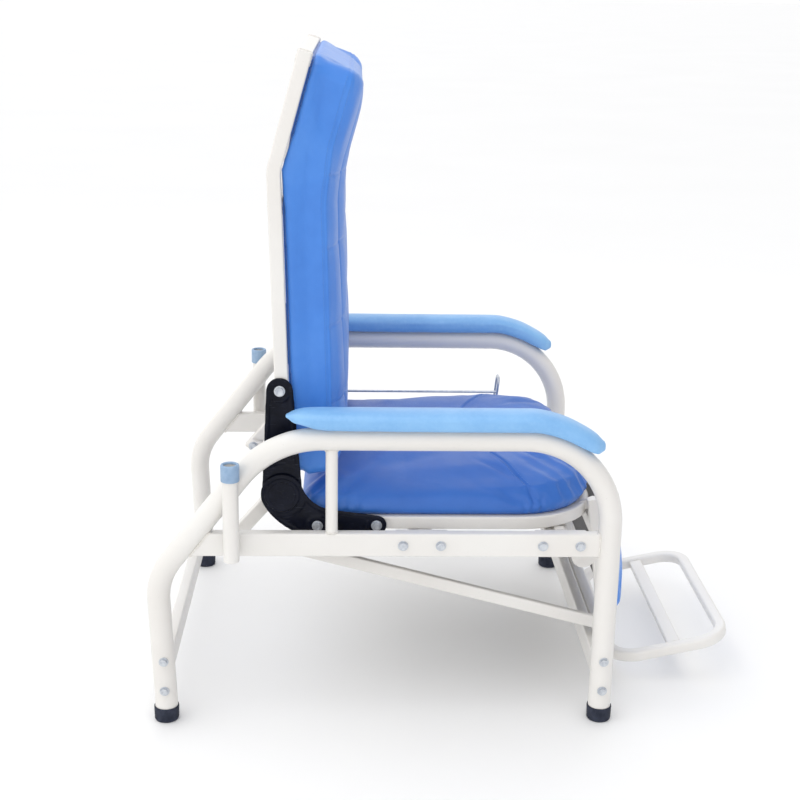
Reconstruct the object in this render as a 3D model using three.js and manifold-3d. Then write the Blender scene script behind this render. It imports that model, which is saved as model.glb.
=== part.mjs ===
// Patient recliner chair: bent side frames, a coupled backrest and leg rest, and a folding footrest.
// Millimetres, +X the way the occupant faces, +Y the occupant's left, +Z up, floor at Z = 0.
import * as THREE from 'three';
import { mergeVertices } from 'three/addons/utils/BufferGeometryUtils.js';
import Module from 'manifold-3d';

const wasm = await Module();
wasm.setup();

// ---------------------------------------------------------------- driving dimensions
const GAP = 0.3; // assembly gap between touching pieces
const ORIGIN_SHIFT_X = -117.05; // from the middle of the feet to the middle of the whole chair

// side frames
const TUBE_R = 19;
const SIDE_Y = 326;
const FOOT_REAR_X = -368;
const FOOT_FRONT_X = 368;
const TUBE_END_Z = 8.5;
const REAR_KNEE = [-376.5, 259];
const REAR_SHOULDER = [-187, 500.5];
const ARM_Z = 500.5;
const REAR_KNEE_R = 110;
const REAR_SHOULDER_R = 170;
const FRONT_BEND_R = 145;
const FOOT_R = 21;
const FOOT_H = 26;

// side rails, arm posts and infusion pole sockets
const RAIL_Y = [316, 336];
const RAIL_Z = [300, 340];
const RAIL_REAR_LOW_X = -319;
const RAIL_REAR_TOP_X = -287.8;
const RAIL_FRONT_X = 348.7;
const POST_X = -90;
const POST_R = 10;
const SOCKET_X = -251;
const SOCKET_Y = 358.6;
const SOCKET_R = 13;
const SOCKET_BORE_R = 10;
const SOCKET_Z = [302, 464];
const CAP_R = 15.2;

// cross tubes and seat cross-members
const CROSS_TUBE = { width: 20, z: [67, 107], offset: -2 };
const FLANGE_T = 4;
const LEG_FLANGE_Z = [45, 129];
const LEG_FLANGE_HALF = 11;
const SEAT_BEAM_X = [58, 288];
const SEAT_BEAM = { width: 40, z: [302, 322] };
const SEAT_FLANGE_HALF = 44;
const STAND_HALF = 8;
const STAND_OFFSET = 4; // the stands sit a little forward of each beam's middle

// seat
const BOX_TUBE = 22;
const SEAT_FRAME_Y = 273;
const SEAT_FRAME_Z = 339;
const SEAT_FRAME_X = [-115, 347];
const SEAT_CORNER_R = 120;
const SEAT_BOARD_Z = [350.3, 356.3];
const SEAT_CUSHION_X = [-137, 351];
const SEAT_CUSHION_Y = 281;
const SEAT_CUSHION_Z = [356.6, 430];

// hinges, backrest
const HUB = [-172, 392];
const HUB_R = 35.5;
const HUB_PIN_R = 8;
const HINGE_UPPER_Y = [284.3, 288.3];
const HINGE_LOWER_Y = [290.6, 294.6];
const HINGE_BOLT_TOP = [-175, 568];
const HINGE_BOLTS_LOW = [[-114, 338], [-16, 339]];
const BACK_LEAN = THREE.MathUtils.degToRad(-1.67);
const HEAD_LEAN = THREE.MathUtils.degToRad(15.5);
const BACK_FOOT = [-167, 392];
const BACK_BEND_S = 529;
const BACK_TOP_S = 716;
const UPRIGHT_Y = 273;
const CUSHION_BEND_R = 400;
const BACK_CUSHION_S = [24, 718];
const BACK_CUSHION_Y = 273;
const BACK_CUSHION_N = [19.9, 101];

// recline linkage
const LEVER_TOP = [-165, 404];
const LEVER_PIVOT = [-256, 300];
const LEVER_Y = [239.7, 261.7];
const ROD_FRONT = [386, 131];
const ROD_Y = [226.5, 238.5];
const ROD_HALF = 11;
const PIVOT_PIN_R = 5;
const PIVOT_HEAD_R = 8.5;
const LEVER_TAIL = 14;
const RUNNING = 0.08; // clearance all round a turning pin

// leg rest and footrest
const LIFT_PIVOT = [358, 350];
const LIFT_PIN_R = 6;
const LIFT_LUG = { r: 9, length: 25, thick: 6, below: 8, above: 10.5 };
const LEG_LEAN = THREE.MathUtils.degToRad(7.5);
const LEG_ARM_Y = [210, 226];
const LEG_ARM_LENGTH = 282;
const LEG_CROSS_T = 262;
const LEG_PAD_T = [-13, 208];
const LEG_PAD_Y = 235;
const FOLD_PIVOT = [396, 45];
const FOLD_EAR_Y = [90, 96];
const FOLD_TAB_Y = [96.5, 101.5];
const FOOT_LEAN = THREE.MathUtils.degToRad(12.4);
const FOOT_BAR_REAR = [417, 41];
const FOOT_LOOP_LENGTH = 205;
const FOOT_LOOP_Y = 193;
const FOOT_LOOP_R = 50;
const FOOT_TUBE = 20;
const FOOT_BAR = { s: 112, width: 24, height: 14 };

// ---------------------------------------------------------------- materials
const paint = { color: 0xe8e6e0, metalness: 0.2, roughness: 0.35 };
const blackSteel = { color: 0x0b0d18, metalness: 0.3, roughness: 0.25 };
const zinc = { color: 0xb2b8be, metalness: 0.9, roughness: 0.35 };
const vinyl = { color: 0x3f7fd6, metalness: 0.0, roughness: 0.5 };
const paleVinyl = { color: 0x86b6ea, metalness: 0.0, roughness: 0.5 };
const rubber = { color: 0x2e3446, metalness: 0.0, roughness: 0.8 };
const capPlastic = { color: 0x86a3c6, metalness: 0.0, roughness: 0.5 };
const plywood = { color: 0xb08a5a, metalness: 0.0, roughness: 0.8 };

const chair = new THREE.Group();
chair.name = 'patient_recliner';

// ---------------------------------------------------------------- geometry helpers
function signedVolume(position, index) {
  const a = new THREE.Vector3();
  const b = new THREE.Vector3();
  const c = new THREE.Vector3();
  let volume = 0;
  for (let i = 0; i < index.length; i += 3) {
    a.fromBufferAttribute(position, index[i]);
    b.fromBufferAttribute(position, index[i + 1]);
    c.fromBufferAttribute(position, index[i + 2]);
    volume += a.dot(b.cross(c)) / 6;
  }
  return volume;
}

// a closed skin over rings of matching points, with ends laced point to opposite point;
// `ends` is false when the last ring joins the first
function loft(rings, ends = true) {
  const count = rings[0].length;
  const points = rings.flat();
  const index = [];
  const spans = ends ? rings.length - 1 : rings.length;
  for (let r = 0; r < spans; r += 1) {
    const next = (r + 1) % rings.length;
    for (let i = 0; i < count; i += 1) {
      const j = (i + 1) % count;
      const [a, b] = [r * count + i, r * count + j];
      const [c, d] = [next * count + i, next * count + j];
      index.push(a, b, d, a, d, c);
    }
  }
  if (ends) {
    const last = (rings.length - 1) * count;
    for (let i = 0, j = count - 1; i + 1 <= j; i += 1, j -= 1) {
      const before = i === 0 ? 0 : j + 1;
      if (i > 0) index.push(before, j, i, last + before, last + i, last + j);
      if (i + 1 < j) index.push(i, j, i + 1, last + i, last + i + 1, last + j);
    }
  }
  const geometry = new THREE.BufferGeometry().setFromPoints(points);
  if (signedVolume(geometry.attributes.position, index) < 0) index.reverse();
  geometry.setIndex(index);
  return geometry;
}

// round every inner corner of a flat path [a, b] by its radius
function filleted(corners, radii, degreesPerStep = 10) {
  const path = [new THREE.Vector2(...corners[0])];
  for (let i = 1; i < corners.length - 1; i += 1) {
    const here = new THREE.Vector2(...corners[i]);
    const back = new THREE.Vector2(...corners[i - 1]).sub(here).normalize();
    const ahead = new THREE.Vector2(...corners[i + 1]).sub(here).normalize();
    const turn = Math.PI - Math.acos(back.dot(ahead));
    const radius = radii[i - 1];
    if (radius === 0) {
      path.push(here);
      continue;
    }
    const reach = radius * Math.tan(turn / 2);
    const start = here.clone().addScaledVector(back, reach);
    const end = here.clone().addScaledVector(ahead, reach);
    const middle = back.clone().add(ahead).normalize();
    const centre = here.clone().addScaledVector(middle, radius / Math.cos(turn / 2));
    const steps = Math.max(1, Math.round(THREE.MathUtils.radToDeg(turn) / degreesPerStep));
    const from = start.clone().sub(centre).angle();
    const cross = start.clone().sub(centre).cross(end.clone().sub(centre));
    const sweepAngle = Math.sign(cross) * turn;
    for (let k = 0; k <= steps; k += 1) {
      const angle = from + (sweepAngle * k) / steps;
      path.push(new THREE.Vector2(Math.cos(angle), Math.sin(angle)).multiplyScalar(radius).add(centre));
    }
  }
  path.push(new THREE.Vector2(...corners.at(-1)));
  return path;
}

// sweep a section [in-plane, across] along a flat path; toSpace maps (a, b, across) to a point
function sweep(section, path, toSpace, closed = false) {
  const n = path.length;
  const rings = path.map((here, i) => {
    const before = closed ? path[(i + n - 1) % n] : path[Math.max(i - 1, 0)];
    const after = closed ? path[(i + 1) % n] : path[Math.min(i + 1, n - 1)];
    const inward = here.clone().sub(before);
    const outward = after.clone().sub(here);
    if (inward.length() === 0) inward.copy(outward);
    if (outward.length() === 0) outward.copy(inward);
    inward.normalize();
    outward.normalize();
    const tangent = inward.clone().add(outward).normalize();
    const stretch = 1 / tangent.dot(outward);
    const side = new THREE.Vector2(-tangent.y, tangent.x).multiplyScalar(stretch);
    return section.map(([u, v]) => toSpace(here.x + side.x * u, here.y + side.y * u, v));
  });
  return loft(rings, !closed);
}

function circle(radius, count = 16) {
  const points = [];
  for (let i = 0; i < count; i += 1) {
    const angle = (2 * Math.PI * i) / count;
    points.push([radius * Math.cos(angle), radius * Math.sin(angle)]);
  }
  return points;
}

function boxSection(width, height, chamfer = 2) {
  const [w, h, c] = [width / 2, height / 2, chamfer];
  return [
    [w - c, -h], [w, -h + c], [w, h - c], [w - c, h],
    [-w + c, h], [-w, h - c], [-w, -h + c], [-w + c, -h],
  ];
}

const inSideView = (y) => (a, b, across) => new THREE.Vector3(a, y + across, b);
const inPlanView = (z) => (a, b, across) => new THREE.Vector3(a, b, z + across);

// a flat profile in side view, from y0 to y1
function plate(profile, [y0, y1]) {
  const depth = Math.abs(y1 - y0);
  const shape = new THREE.ExtrudeGeometry(profile, { depth, bevelEnabled: false, curveSegments: 6 });
  shape.rotateX(Math.PI / 2);
  shape.translate(0, Math.max(y0, y1), 0);
  return shape;
}

function box([x0, x1], [y0, y1], [z0, z1]) {
  const shape = new THREE.BoxGeometry(Math.abs(x1 - x0), Math.abs(y1 - y0), Math.abs(z1 - z0));
  shape.translate((x0 + x1) / 2, (y0 + y1) / 2, (z0 + z1) / 2);
  return shape;
}

// a turned piece about the vertical axis at (x, y)
function turned(profile, x, y, segments = 16) {
  const shape = new THREE.LatheGeometry(profile.map((p) => new THREE.Vector2(...p)), segments);
  shape.rotateX(Math.PI / 2);
  shape.translate(x, y, 0);
  return shape;
}

// a pin, disc or bolt head along Y at (x, z)
function disc(x, z, radius, [y0, y1], segments = 16) {
  const shape = new THREE.CylinderGeometry(radius, radius, Math.abs(y1 - y0), segments);
  shape.translate(0, (y0 + y1) / 2, 0);
  shape.translate(x, 0, z);
  return shape;
}

function toSolid(geometry) {
  const plain = geometry.clone();
  plain.deleteAttribute('normal');
  plain.deleteAttribute('uv');
  const welded = mergeVertices(plain, 1e-3);
  const vertProperties = Float32Array.from(welded.attributes.position.array);
  const index = Array.from(welded.index.array);
  const kept = [];
  for (let i = 0; i < index.length; i += 3) {
    const [a, b, c] = index.slice(i, i + 3);
    if (a !== b && b !== c && a !== c) kept.push(a, b, c);
  }
  if (signedVolume(welded.attributes.position, kept) < 0) kept.reverse();
  const mesh = new wasm.Mesh({ numProp: 3, vertProperties, triVerts: Uint32Array.from(kept) });
  return new wasm.Manifold(mesh);
}

function fromSolid(solid) {
  const mesh = solid.getMesh();
  const geometry = new THREE.BufferGeometry();
  geometry.setAttribute('position', new THREE.BufferAttribute(mesh.vertProperties, 3));
  geometry.setIndex(new THREE.BufferAttribute(mesh.triVerts, 1));
  return geometry;
}

const fuse = (...parts) => fromSolid(parts.map(toSolid).reduce((whole, part) => whole.add(part)));
function cut(body, ...tools) {
  return fromSolid(tools.map(toSolid).reduce((rest, tool) => rest.subtract(tool), toSolid(body)));
}

function add(name, geometry, look) {
  const solid = fromSolid(toSolid(geometry));
  solid.translate(ORIGIN_SHIFT_X, 0, 0);
  solid.computeVertexNormals();
  const mesh = new THREE.Mesh(solid, new THREE.MeshStandardMaterial(look));
  mesh.name = name;
  chair.add(mesh);
}

const SIDES = [['right', -1], ['left', 1]];
const across = (side, [y0, y1]) => [side * y0, side * y1];

// ---------------------------------------------------------------- side frames and feet
const sidePath = filleted(
  [[FOOT_REAR_X, TUBE_END_Z], [FOOT_REAR_X, FOOT_H + 12], REAR_KNEE, REAR_SHOULDER, [FOOT_FRONT_X, ARM_Z],
    [FOOT_FRONT_X, TUBE_END_Z]],
  [0, REAR_KNEE_R, REAR_SHOULDER_R, FRONT_BEND_R],
);
const footProfile = [[0, 0], [FOOT_R - 2, 0], [FOOT_R, 2], [FOOT_R, FOOT_H - 1], [FOOT_R - 0.6, FOOT_H],
  [TUBE_R + GAP, FOOT_H], [TUBE_R + GAP, TUBE_END_Z - GAP], [0, TUBE_END_Z - GAP]];
for (const [label, side] of SIDES) {
  add(`side_frame_${label}`, sweep(circle(TUBE_R), sidePath, inSideView(side * SIDE_Y)), paint);
  add(`foot_rear_${label}`, turned(footProfile, FOOT_REAR_X, side * SIDE_Y), rubber);
  add(`foot_front_${label}`, turned(footProfile, FOOT_FRONT_X, side * SIDE_Y), rubber);
}

// ---------------------------------------------------------------- rails, posts and pole sockets
const railProfile = new THREE.Shape([
  new THREE.Vector2(RAIL_REAR_LOW_X, RAIL_Z[0]),
  new THREE.Vector2(RAIL_FRONT_X, RAIL_Z[0]),
  new THREE.Vector2(RAIL_FRONT_X, RAIL_Z[1]),
  new THREE.Vector2(RAIL_REAR_TOP_X, RAIL_Z[1]),
]);
const postTop = ARM_Z - TUBE_R - GAP;
const postProfile = [[0, RAIL_Z[1] + GAP], [POST_R, RAIL_Z[1] + GAP], [POST_R, postTop], [0, postTop]];
const socketFloor = SOCKET_Z[0] + 4;
const socketProfile = [[0, SOCKET_Z[0]], [SOCKET_R, SOCKET_Z[0]], [SOCKET_R, SOCKET_Z[1]],
  [SOCKET_BORE_R, SOCKET_Z[1]], [SOCKET_BORE_R, socketFloor], [0, socketFloor]];
const capLow = SOCKET_Z[1] - 24;
const capTop = SOCKET_Z[1] + 4;
const capProfile = [[SOCKET_R + GAP, capLow], [CAP_R, capLow], [CAP_R, capTop], [SOCKET_BORE_R, capTop],
  [SOCKET_BORE_R, SOCKET_Z[1] + GAP], [SOCKET_R + GAP, SOCKET_Z[1] + GAP], [SOCKET_R + GAP, capLow]];
for (const [label, side] of SIDES) {
  add(`side_rail_${label}`, plate(railProfile, across(side, RAIL_Y)), paint);
  add(`arm_post_${label}`, turned(postProfile, POST_X, side * SIDE_Y), paint);
  const lugY = across(side, [RAIL_Y[1] + GAP, SOCKET_Y - SOCKET_BORE_R - 1]);
  const lug = box([SOCKET_X - 6, SOCKET_X + 6], lugY, [RAIL_Z[0] + 6, RAIL_Z[1] - 6]);
  add(`pole_socket_${label}`, fuse(turned(socketProfile, SOCKET_X, side * SOCKET_Y), lug), paint);
  add(`pole_socket_cap_${label}`, turned(capProfile, SOCKET_X, side * SOCKET_Y), capPlastic);
}

// ---------------------------------------------------------------- cross tubes and seat beams
function crossTube(x, halfWidth, z, flangeHalf, flangeZ, reach) {
  const tube = box([x - halfWidth, x + halfWidth], [-reach + 1, reach - 1], z);
  const flanges = SIDES.map(([, side]) => box(
    [x - flangeHalf, x + flangeHalf], across(side, [reach - FLANGE_T, reach]), flangeZ));
  return fuse(tube, ...flanges);
}
const legReach = SIDE_Y - TUBE_R - GAP;
const railReach = RAIL_Y[0] - GAP;
for (const [where, legX] of [['rear', FOOT_REAR_X], ['front', FOOT_FRONT_X]]) {
  const x = legX + CROSS_TUBE.offset;
  const tube = crossTube(x, CROSS_TUBE.width / 2, CROSS_TUBE.z, LEG_FLANGE_HALF, LEG_FLANGE_Z, legReach);
  add(`${where}_cross_tube`, tube, paint);
}
SEAT_BEAM_X.forEach((x, i) => {
  const flangeZ = [RAIL_Z[0] + 1, RAIL_Z[1] - 1];
  const beam = crossTube(x, SEAT_BEAM.width / 2, SEAT_BEAM.z, SEAT_FLANGE_HALF, flangeZ, railReach);
  const where = i === 0 ? 'rear' : 'front';
  add(`seat_beam_${where}`, beam, paint);
  const standZ = [SEAT_BEAM.z[1] + GAP, SEAT_FRAME_Z - BOX_TUBE / 2 - GAP];
  for (const [label, side] of SIDES) {
    const standY = across(side, [SEAT_FRAME_Y - STAND_HALF, SEAT_FRAME_Y + STAND_HALF]);
    const standX = [x + STAND_OFFSET - STAND_HALF, x + STAND_OFFSET + STAND_HALF];
    add(`seat_stand_${where}_${label}`, box(standX, standY, standZ), paint);
  }
});

// ---------------------------------------------------------------- seat frame, board and cushion
const seatCorners = [
  [SEAT_FRAME_X[0], 0], [SEAT_FRAME_X[0], -SEAT_FRAME_Y], [SEAT_FRAME_X[1], -SEAT_FRAME_Y],
  [SEAT_FRAME_X[1], SEAT_FRAME_Y], [SEAT_FRAME_X[0], SEAT_FRAME_Y], [SEAT_FRAME_X[0], 0],
];
const seatLoop = filleted(seatCorners, [14, SEAT_CORNER_R, SEAT_CORNER_R, 14], 11);
seatLoop.pop();
const seatTube = sweep(boxSection(BOX_TUBE, BOX_TUBE), seatLoop, inPlanView(SEAT_FRAME_Z), true);
const liftLugs = SIDES.flatMap(([, side]) => {
  const lug = new THREE.Shape();
  const rootX = LIFT_PIVOT[0] - LIFT_LUG.length;
  lug.moveTo(rootX, SEAT_FRAME_Z - LIFT_LUG.below);
  lug.lineTo(LIFT_PIVOT[0], LIFT_PIVOT[1] - LIFT_LUG.r);
  lug.absarc(...LIFT_PIVOT, LIFT_LUG.r, -Math.PI / 2, Math.PI / 2);
  lug.lineTo(rootX, SEAT_FRAME_Z + LIFT_LUG.above);
  const inner = LEG_ARM_Y[0] - GAP;
  return [
    plate(lug, across(side, [inner - LIFT_LUG.thick, inner])),
    disc(...LIFT_PIVOT, LIFT_PIN_R, across(side, [inner - 2, LEG_ARM_Y[1] - GAP]), 24),
  ];
});
add('seat_frame', fuse(seatTube, ...liftLugs), paint);

// plan outline of a pad: straight sides split up, corners rounded by their own radius
function padOutline([x0, x1], halfWidth, rearR, frontR) {
  const corners = [
    [x0, 0], [x0, -halfWidth], [(x0 + x1) / 2, -halfWidth], [x1, -halfWidth], [x1, 0],
    [x1, halfWidth], [(x0 + x1) / 2, halfWidth], [x0, halfWidth], [x0, 0],
  ];
  const outline = filleted(corners, [rearR, 0, frontR, 0, frontR, 0, rearR], 15);
  outline.pop();
  return outline;
}

// stack an outline into a pad; each level is [height, inset]
function padStack(outline, levels, toSpace) {
  const box2 = new THREE.Box2().setFromPoints(outline);
  const middle = box2.getCenter(new THREE.Vector2());
  const half = box2.getSize(new THREE.Vector2()).multiplyScalar(0.5);
  const rings = levels.map(([height, inset]) => outline.map((point) => {
    const sx = (half.x - inset) / half.x;
    const sy = (half.y - inset) / half.y;
    return toSpace(middle.x + (point.x - middle.x) * sx, middle.y + (point.y - middle.y) * sy, height);
  }));
  return loft(rings);
}
const boardX = [SEAT_FRAME_X[0] - 4, SEAT_FRAME_X[1] - 4];
const boardOutline = padOutline(boardX, SEAT_FRAME_Y - 3, 14, SEAT_CORNER_R);
add('seat_board', padStack(boardOutline, [[SEAT_BOARD_Z[0], 0], [SEAT_BOARD_Z[1], 0]],
  (a, b, h) => new THREE.Vector3(a, b, h)), plywood);

// the rear of the seat pad is squeezed down where it runs under the backrest
const [seatLow, seatTop] = SEAT_CUSHION_Z;
const SQUEEZE_X = [-70, 20];
const SQUEEZE_Z = 404;
function seatPoint(a, b, h) {
  const t = THREE.MathUtils.smoothstep(a, ...SQUEEZE_X);
  const roof = THREE.MathUtils.lerp(SQUEEZE_Z, seatTop, t);
  const z = seatLow + ((h - seatLow) * (roof - seatLow)) / (seatTop - seatLow);
  return new THREE.Vector3(a, b, z);
}
const SEAT_LEVELS = [[0, 6], [7, 0], [34, 0], [50, 7], [62, 28], [69, 66], [seatTop - seatLow, 130]];
const seatLevels = SEAT_LEVELS.map(([height, inset]) => [seatLow + height, inset]);
const seatOutline = padOutline(SEAT_CUSHION_X, SEAT_CUSHION_Y, 42, SEAT_CORNER_R + 6);
add('seat_cushion', padStack(seatOutline, seatLevels, seatPoint), vinyl);

// ---------------------------------------------------------------- armrests
const PAD_UNDERSIDE = 523;
const PAD_STRIP = { x: [-85, 215], half: 12 };
// x, underside z, top z and half width along each arm pad
const ARM_PAD_STATIONS = [
  [-160, 537, 544, 9], [-150, 531, 549.5, 19], [-132, 527.5, 554, 26], [-90, 524.5, 555, 29],
  [60, 523, 555, 29], [210, 523, 555, 29], [245, 522, 553, 29],
  [285, 510, 542, 28.5], [318, 493, 525.5, 27], [337, 481, 511, 22], [348, 484, 500, 11],
];
const PAD_SQUARENESS = 0.75; // below 1 the round section fills out towards a box
const filledOut = (u) => Math.sign(u) * Math.abs(u) ** PAD_SQUARENESS;
const PAD_SECTION = circle(1, 18).map(([u, v]) => [filledOut(u), filledOut(v)]);
for (const [label, side] of SIDES) {
  const rings = ARM_PAD_STATIONS.map(([x, low, high, half]) => {
    const middle = (low + high) / 2;
    const rise = (high - low) / 2;
    return PAD_SECTION.map(([u, v]) => new THREE.Vector3(x, side * SIDE_Y + half * u, middle + rise * v));
  });
  add(`arm_pad_${label}`, loft(rings), paleVinyl);
  const stripY = [side * SIDE_Y - PAD_STRIP.half, side * SIDE_Y + PAD_STRIP.half];
  const stripZ = [ARM_Z + TUBE_R + GAP, PAD_UNDERSIDE - GAP];
  add(`arm_pad_strip_${label}`, box(PAD_STRIP.x, stripY, stripZ), paint);
}

// ---------------------------------------------------------------- recline hinges
const WHOLE_WIDTH = [-400, 400];
const BOLT_SHANK_R = 4;
const BOLT_HOLE_R = 4.4;
const BOLT_HEAD_R = 7;
const WASHER_R = 9;
const WASHER_T = 1.5;
const BOLT_HEIGHT = 5;
const holeAt = ([x, z], radius, segments = 24) => disc(x, z, radius, WHOLE_WIDTH, segments);

// a washer, a hexagon head and its shank, facing out from headY and reaching in to `inner`
function bolt([x, z], headY, side, inner) {
  return fuse(
    disc(x, z, WASHER_R, across(side, [headY, headY + WASHER_T]), 18),
    disc(x, z, BOLT_HEAD_R, across(side, [headY + 1, headY + BOLT_HEIGHT]), 6),
    disc(x, z, BOLT_SHANK_R, across(side, [inner, headY + 1]), 12),
  );
}
const HINGE_NOSE_R = 17;
const HINGE_TOP_R = 22;
const HINGE_RING = { outer: 28.5, inner: 23.5, height: 3 };
const HINGE_RIVET = { r: 4.5, height: 2.5 };
const HINGE_BOSS_R = 11;
const HINGE_HEEL = { control: [-184, 340], end: [-142, 322] };
const HINGE_THROAT = { start: [-84, 365], control: [-126, 369], end: [-139.8, 407] };
const lowerProfile = new THREE.Shape();
lowerProfile.absarc(...HUB, HUB_R, THREE.MathUtils.degToRad(25), THREE.MathUtils.degToRad(212));
lowerProfile.quadraticCurveTo(...HINGE_HEEL.control, ...HINGE_HEEL.end);
lowerProfile.lineTo(HINGE_BOLTS_LOW[1][0], HINGE_BOLTS_LOW[1][1] - HINGE_NOSE_R);
lowerProfile.absarc(...HINGE_BOLTS_LOW[1], HINGE_NOSE_R, -Math.PI / 2, THREE.MathUtils.degToRad(83));
lowerProfile.lineTo(...HINGE_THROAT.start);
lowerProfile.quadraticCurveTo(...HINGE_THROAT.control, ...HINGE_THROAT.end);
const upperProfile = new THREE.Shape();
upperProfile.absarc(...HUB, HUB_R - 2, Math.PI, 0);
upperProfile.lineTo(HINGE_BOLT_TOP[0] + HINGE_TOP_R, HINGE_BOLT_TOP[1]);
upperProfile.absarc(...HINGE_BOLT_TOP, HINGE_TOP_R, 0, Math.PI);
for (const [label, side] of SIDES) {
  const [lowInner, lowOuter] = HINGE_LOWER_Y;
  const upInner = HINGE_UPPER_Y[0];
  const ringY = across(side, [lowInner, lowOuter + HINGE_RING.height]);
  const ringOuter = disc(...HUB, HINGE_RING.outer, ringY, 20);
  const ringInner = disc(...HUB, HINGE_RING.inner, across(side, [lowOuter + 1, lowOuter + 9]), 20);
  const rivet = disc(...HUB, HINGE_RIVET.r, across(side, [lowInner, lowOuter + HINGE_RIVET.height]), 10);
  const pin = disc(...HUB, HUB_PIN_R, across(side, [upInner, lowInner + 1]), 24);
  const bossY = across(side, [upInner, lowInner + 1]);
  const bosses = HINGE_BOLTS_LOW.map((at) => disc(...at, HINGE_BOSS_R, bossY));
  const body = cut(fuse(plate(lowerProfile, across(side, HINGE_LOWER_Y)), ringOuter), ringInner);
  const lowerHoles = HINGE_BOLTS_LOW.map((at) => holeAt(at, BOLT_HOLE_R));
  add(`hinge_lower_${label}`, cut(fuse(body, rivet, pin, ...bosses), ...lowerHoles), blackSteel);
  const upper = plate(upperProfile, across(side, HINGE_UPPER_Y));
  const upperHoles = [holeAt(HUB, HUB_PIN_R + RUNNING), holeAt(HINGE_BOLT_TOP, BOLT_HOLE_R)];
  add(`hinge_upper_${label}`, cut(upper, ...upperHoles), blackSteel);
  const shankEnd = upInner + GAP;
  HINGE_BOLTS_LOW.forEach((at, i) => {
    const where = i === 0 ? 'rear' : 'front';
    add(`hinge_bolt_${where}_${label}`, bolt(at, lowOuter + GAP, side, shankEnd), zinc);
  });
  add(`hinge_bolt_top_${label}`, bolt(HINGE_BOLT_TOP, HINGE_UPPER_Y[1] + GAP, side, shankEnd), zinc);
}

// ---------------------------------------------------------------- backrest frame
const lean = (angle) => new THREE.Vector2(Math.sin(angle), Math.cos(angle));
const backLow = new THREE.Vector2(...BACK_FOOT);
const bendPoint = backLow.clone().addScaledVector(lean(BACK_LEAN), BACK_BEND_S);
const backHigh = bendPoint.clone().addScaledVector(lean(HEAD_LEAN), BACK_TOP_S - BACK_BEND_S);
const uprightLow = backLow.clone().addScaledVector(lean(BACK_LEAN), -14);
const uprightCorners = [uprightLow, bendPoint, backHigh].map((point) => point.toArray());
const uprightPath = filleted(uprightCorners, [60], 5);
const innerY = UPRIGHT_Y - BOX_TUBE / 2 - GAP;

// a straight tube across the back at distance s up the frame
function backBar(s, size) {
  const head = s > BACK_BEND_S;
  const angle = head ? HEAD_LEAN : BACK_LEAN;
  const start = head ? bendPoint : backLow;
  const at = start.clone().addScaledVector(lean(angle), head ? s - BACK_BEND_S : s);
  const bar = new THREE.BoxGeometry(BOX_TUBE, 2 * innerY, size);
  bar.rotateY(angle);
  bar.translate(at.x, 0, at.y);
  return bar;
}
for (const [label, side] of SIDES) {
  const upright = sweep(boxSection(BOX_TUBE, BOX_TUBE), uprightPath, inSideView(side * UPRIGHT_Y));
  add(`back_upright_${label}`, upright, paint);
}
add('back_top_bar', backBar(BACK_TOP_S - BOX_TUBE / 2, BOX_TUBE), paint);
add('back_cross_bar_upper', backBar(BACK_BEND_S - 60, BOX_TUBE), paint);
add('back_cross_bar_lower', backBar(95, BOX_TUBE), paint);

// a point of the back pad: s up the back, y across, n forward of the tube centre line
const arcSpan = CUSHION_BEND_R * (HEAD_LEAN - BACK_LEAN);
const arcStart = BACK_BEND_S - arcSpan / 2;
function backPoint(s, y, n) {
  const along = Math.min(s, arcStart);
  const turn = THREE.MathUtils.clamp((s - arcStart) / CUSHION_BEND_R, 0, HEAD_LEAN - BACK_LEAN);
  const beyond = Math.max(0, s - arcStart - arcSpan);
  const angle = BACK_LEAN + turn;
  const forward = (t) => new THREE.Vector2(Math.cos(t), -Math.sin(t));
  const p = backLow.clone().addScaledVector(lean(BACK_LEAN), along);
  p.addScaledVector(forward(BACK_LEAN), CUSHION_BEND_R).addScaledVector(forward(angle), -CUSHION_BEND_R);
  p.addScaledVector(lean(angle), beyond).addScaledVector(forward(angle), n);
  return new THREE.Vector3(p.x, y, p.y);
}

// outline of the back pad in (s, y), with extra points along the bend
function backOutline([s0, s1], halfWidth, lowR, highR) {
  const stops = [0.2, 0.4].map((t) => THREE.MathUtils.lerp(s0, arcStart, t * 2));
  for (let i = 0; i <= 4; i += 1) stops.push(arcStart + (arcSpan * i) / 4);
  const rights = stops.map((s) => [s, -halfWidth]);
  const lefts = stops.toReversed().map((s) => [s, halfWidth]);
  const corners = [
    [s0, 0], [s0, -halfWidth], ...rights, [s1, -halfWidth],
    [s1, 0], [s1, halfWidth], ...lefts, [s0, halfWidth], [s0, 0],
  ];
  const straight = stops.map(() => 0);
  const outline = filleted(corners, [lowR, ...straight, highR, 0, highR, ...straight, lowR], 15);
  outline.pop();
  return outline;
}
const boardN = [BOX_TUBE / 2 + GAP, BACK_CUSHION_N[0] - GAP];
const backBoard = backOutline([BACK_CUSHION_S[0] + 8, BACK_CUSHION_S[1] - 8], BACK_CUSHION_Y - 10, 20, 36);
const uprightClear = (s) => 3.2 * Math.max(0, 1 - Math.abs(s - BACK_BEND_S) / 60);
const clearOfUprights = (s, y, n) => backPoint(s, y, n + uprightClear(s));
add('back_board', padStack(backBoard, [[boardN[0], 0], [boardN[1], 0]], clearOfUprights), plywood);
const [backNear, backFar] = BACK_CUSHION_N;
const backLevels = [[backNear, 5], [backNear + 6, 0], [67, 0], [79, 6], [90, 26], [97, 66], [backFar, 125]];
const backPad = backOutline(BACK_CUSHION_S, BACK_CUSHION_Y, 24, 42);
add('back_cushion', padStack(backPad, backLevels, clearOfUprights), vinyl);

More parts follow.
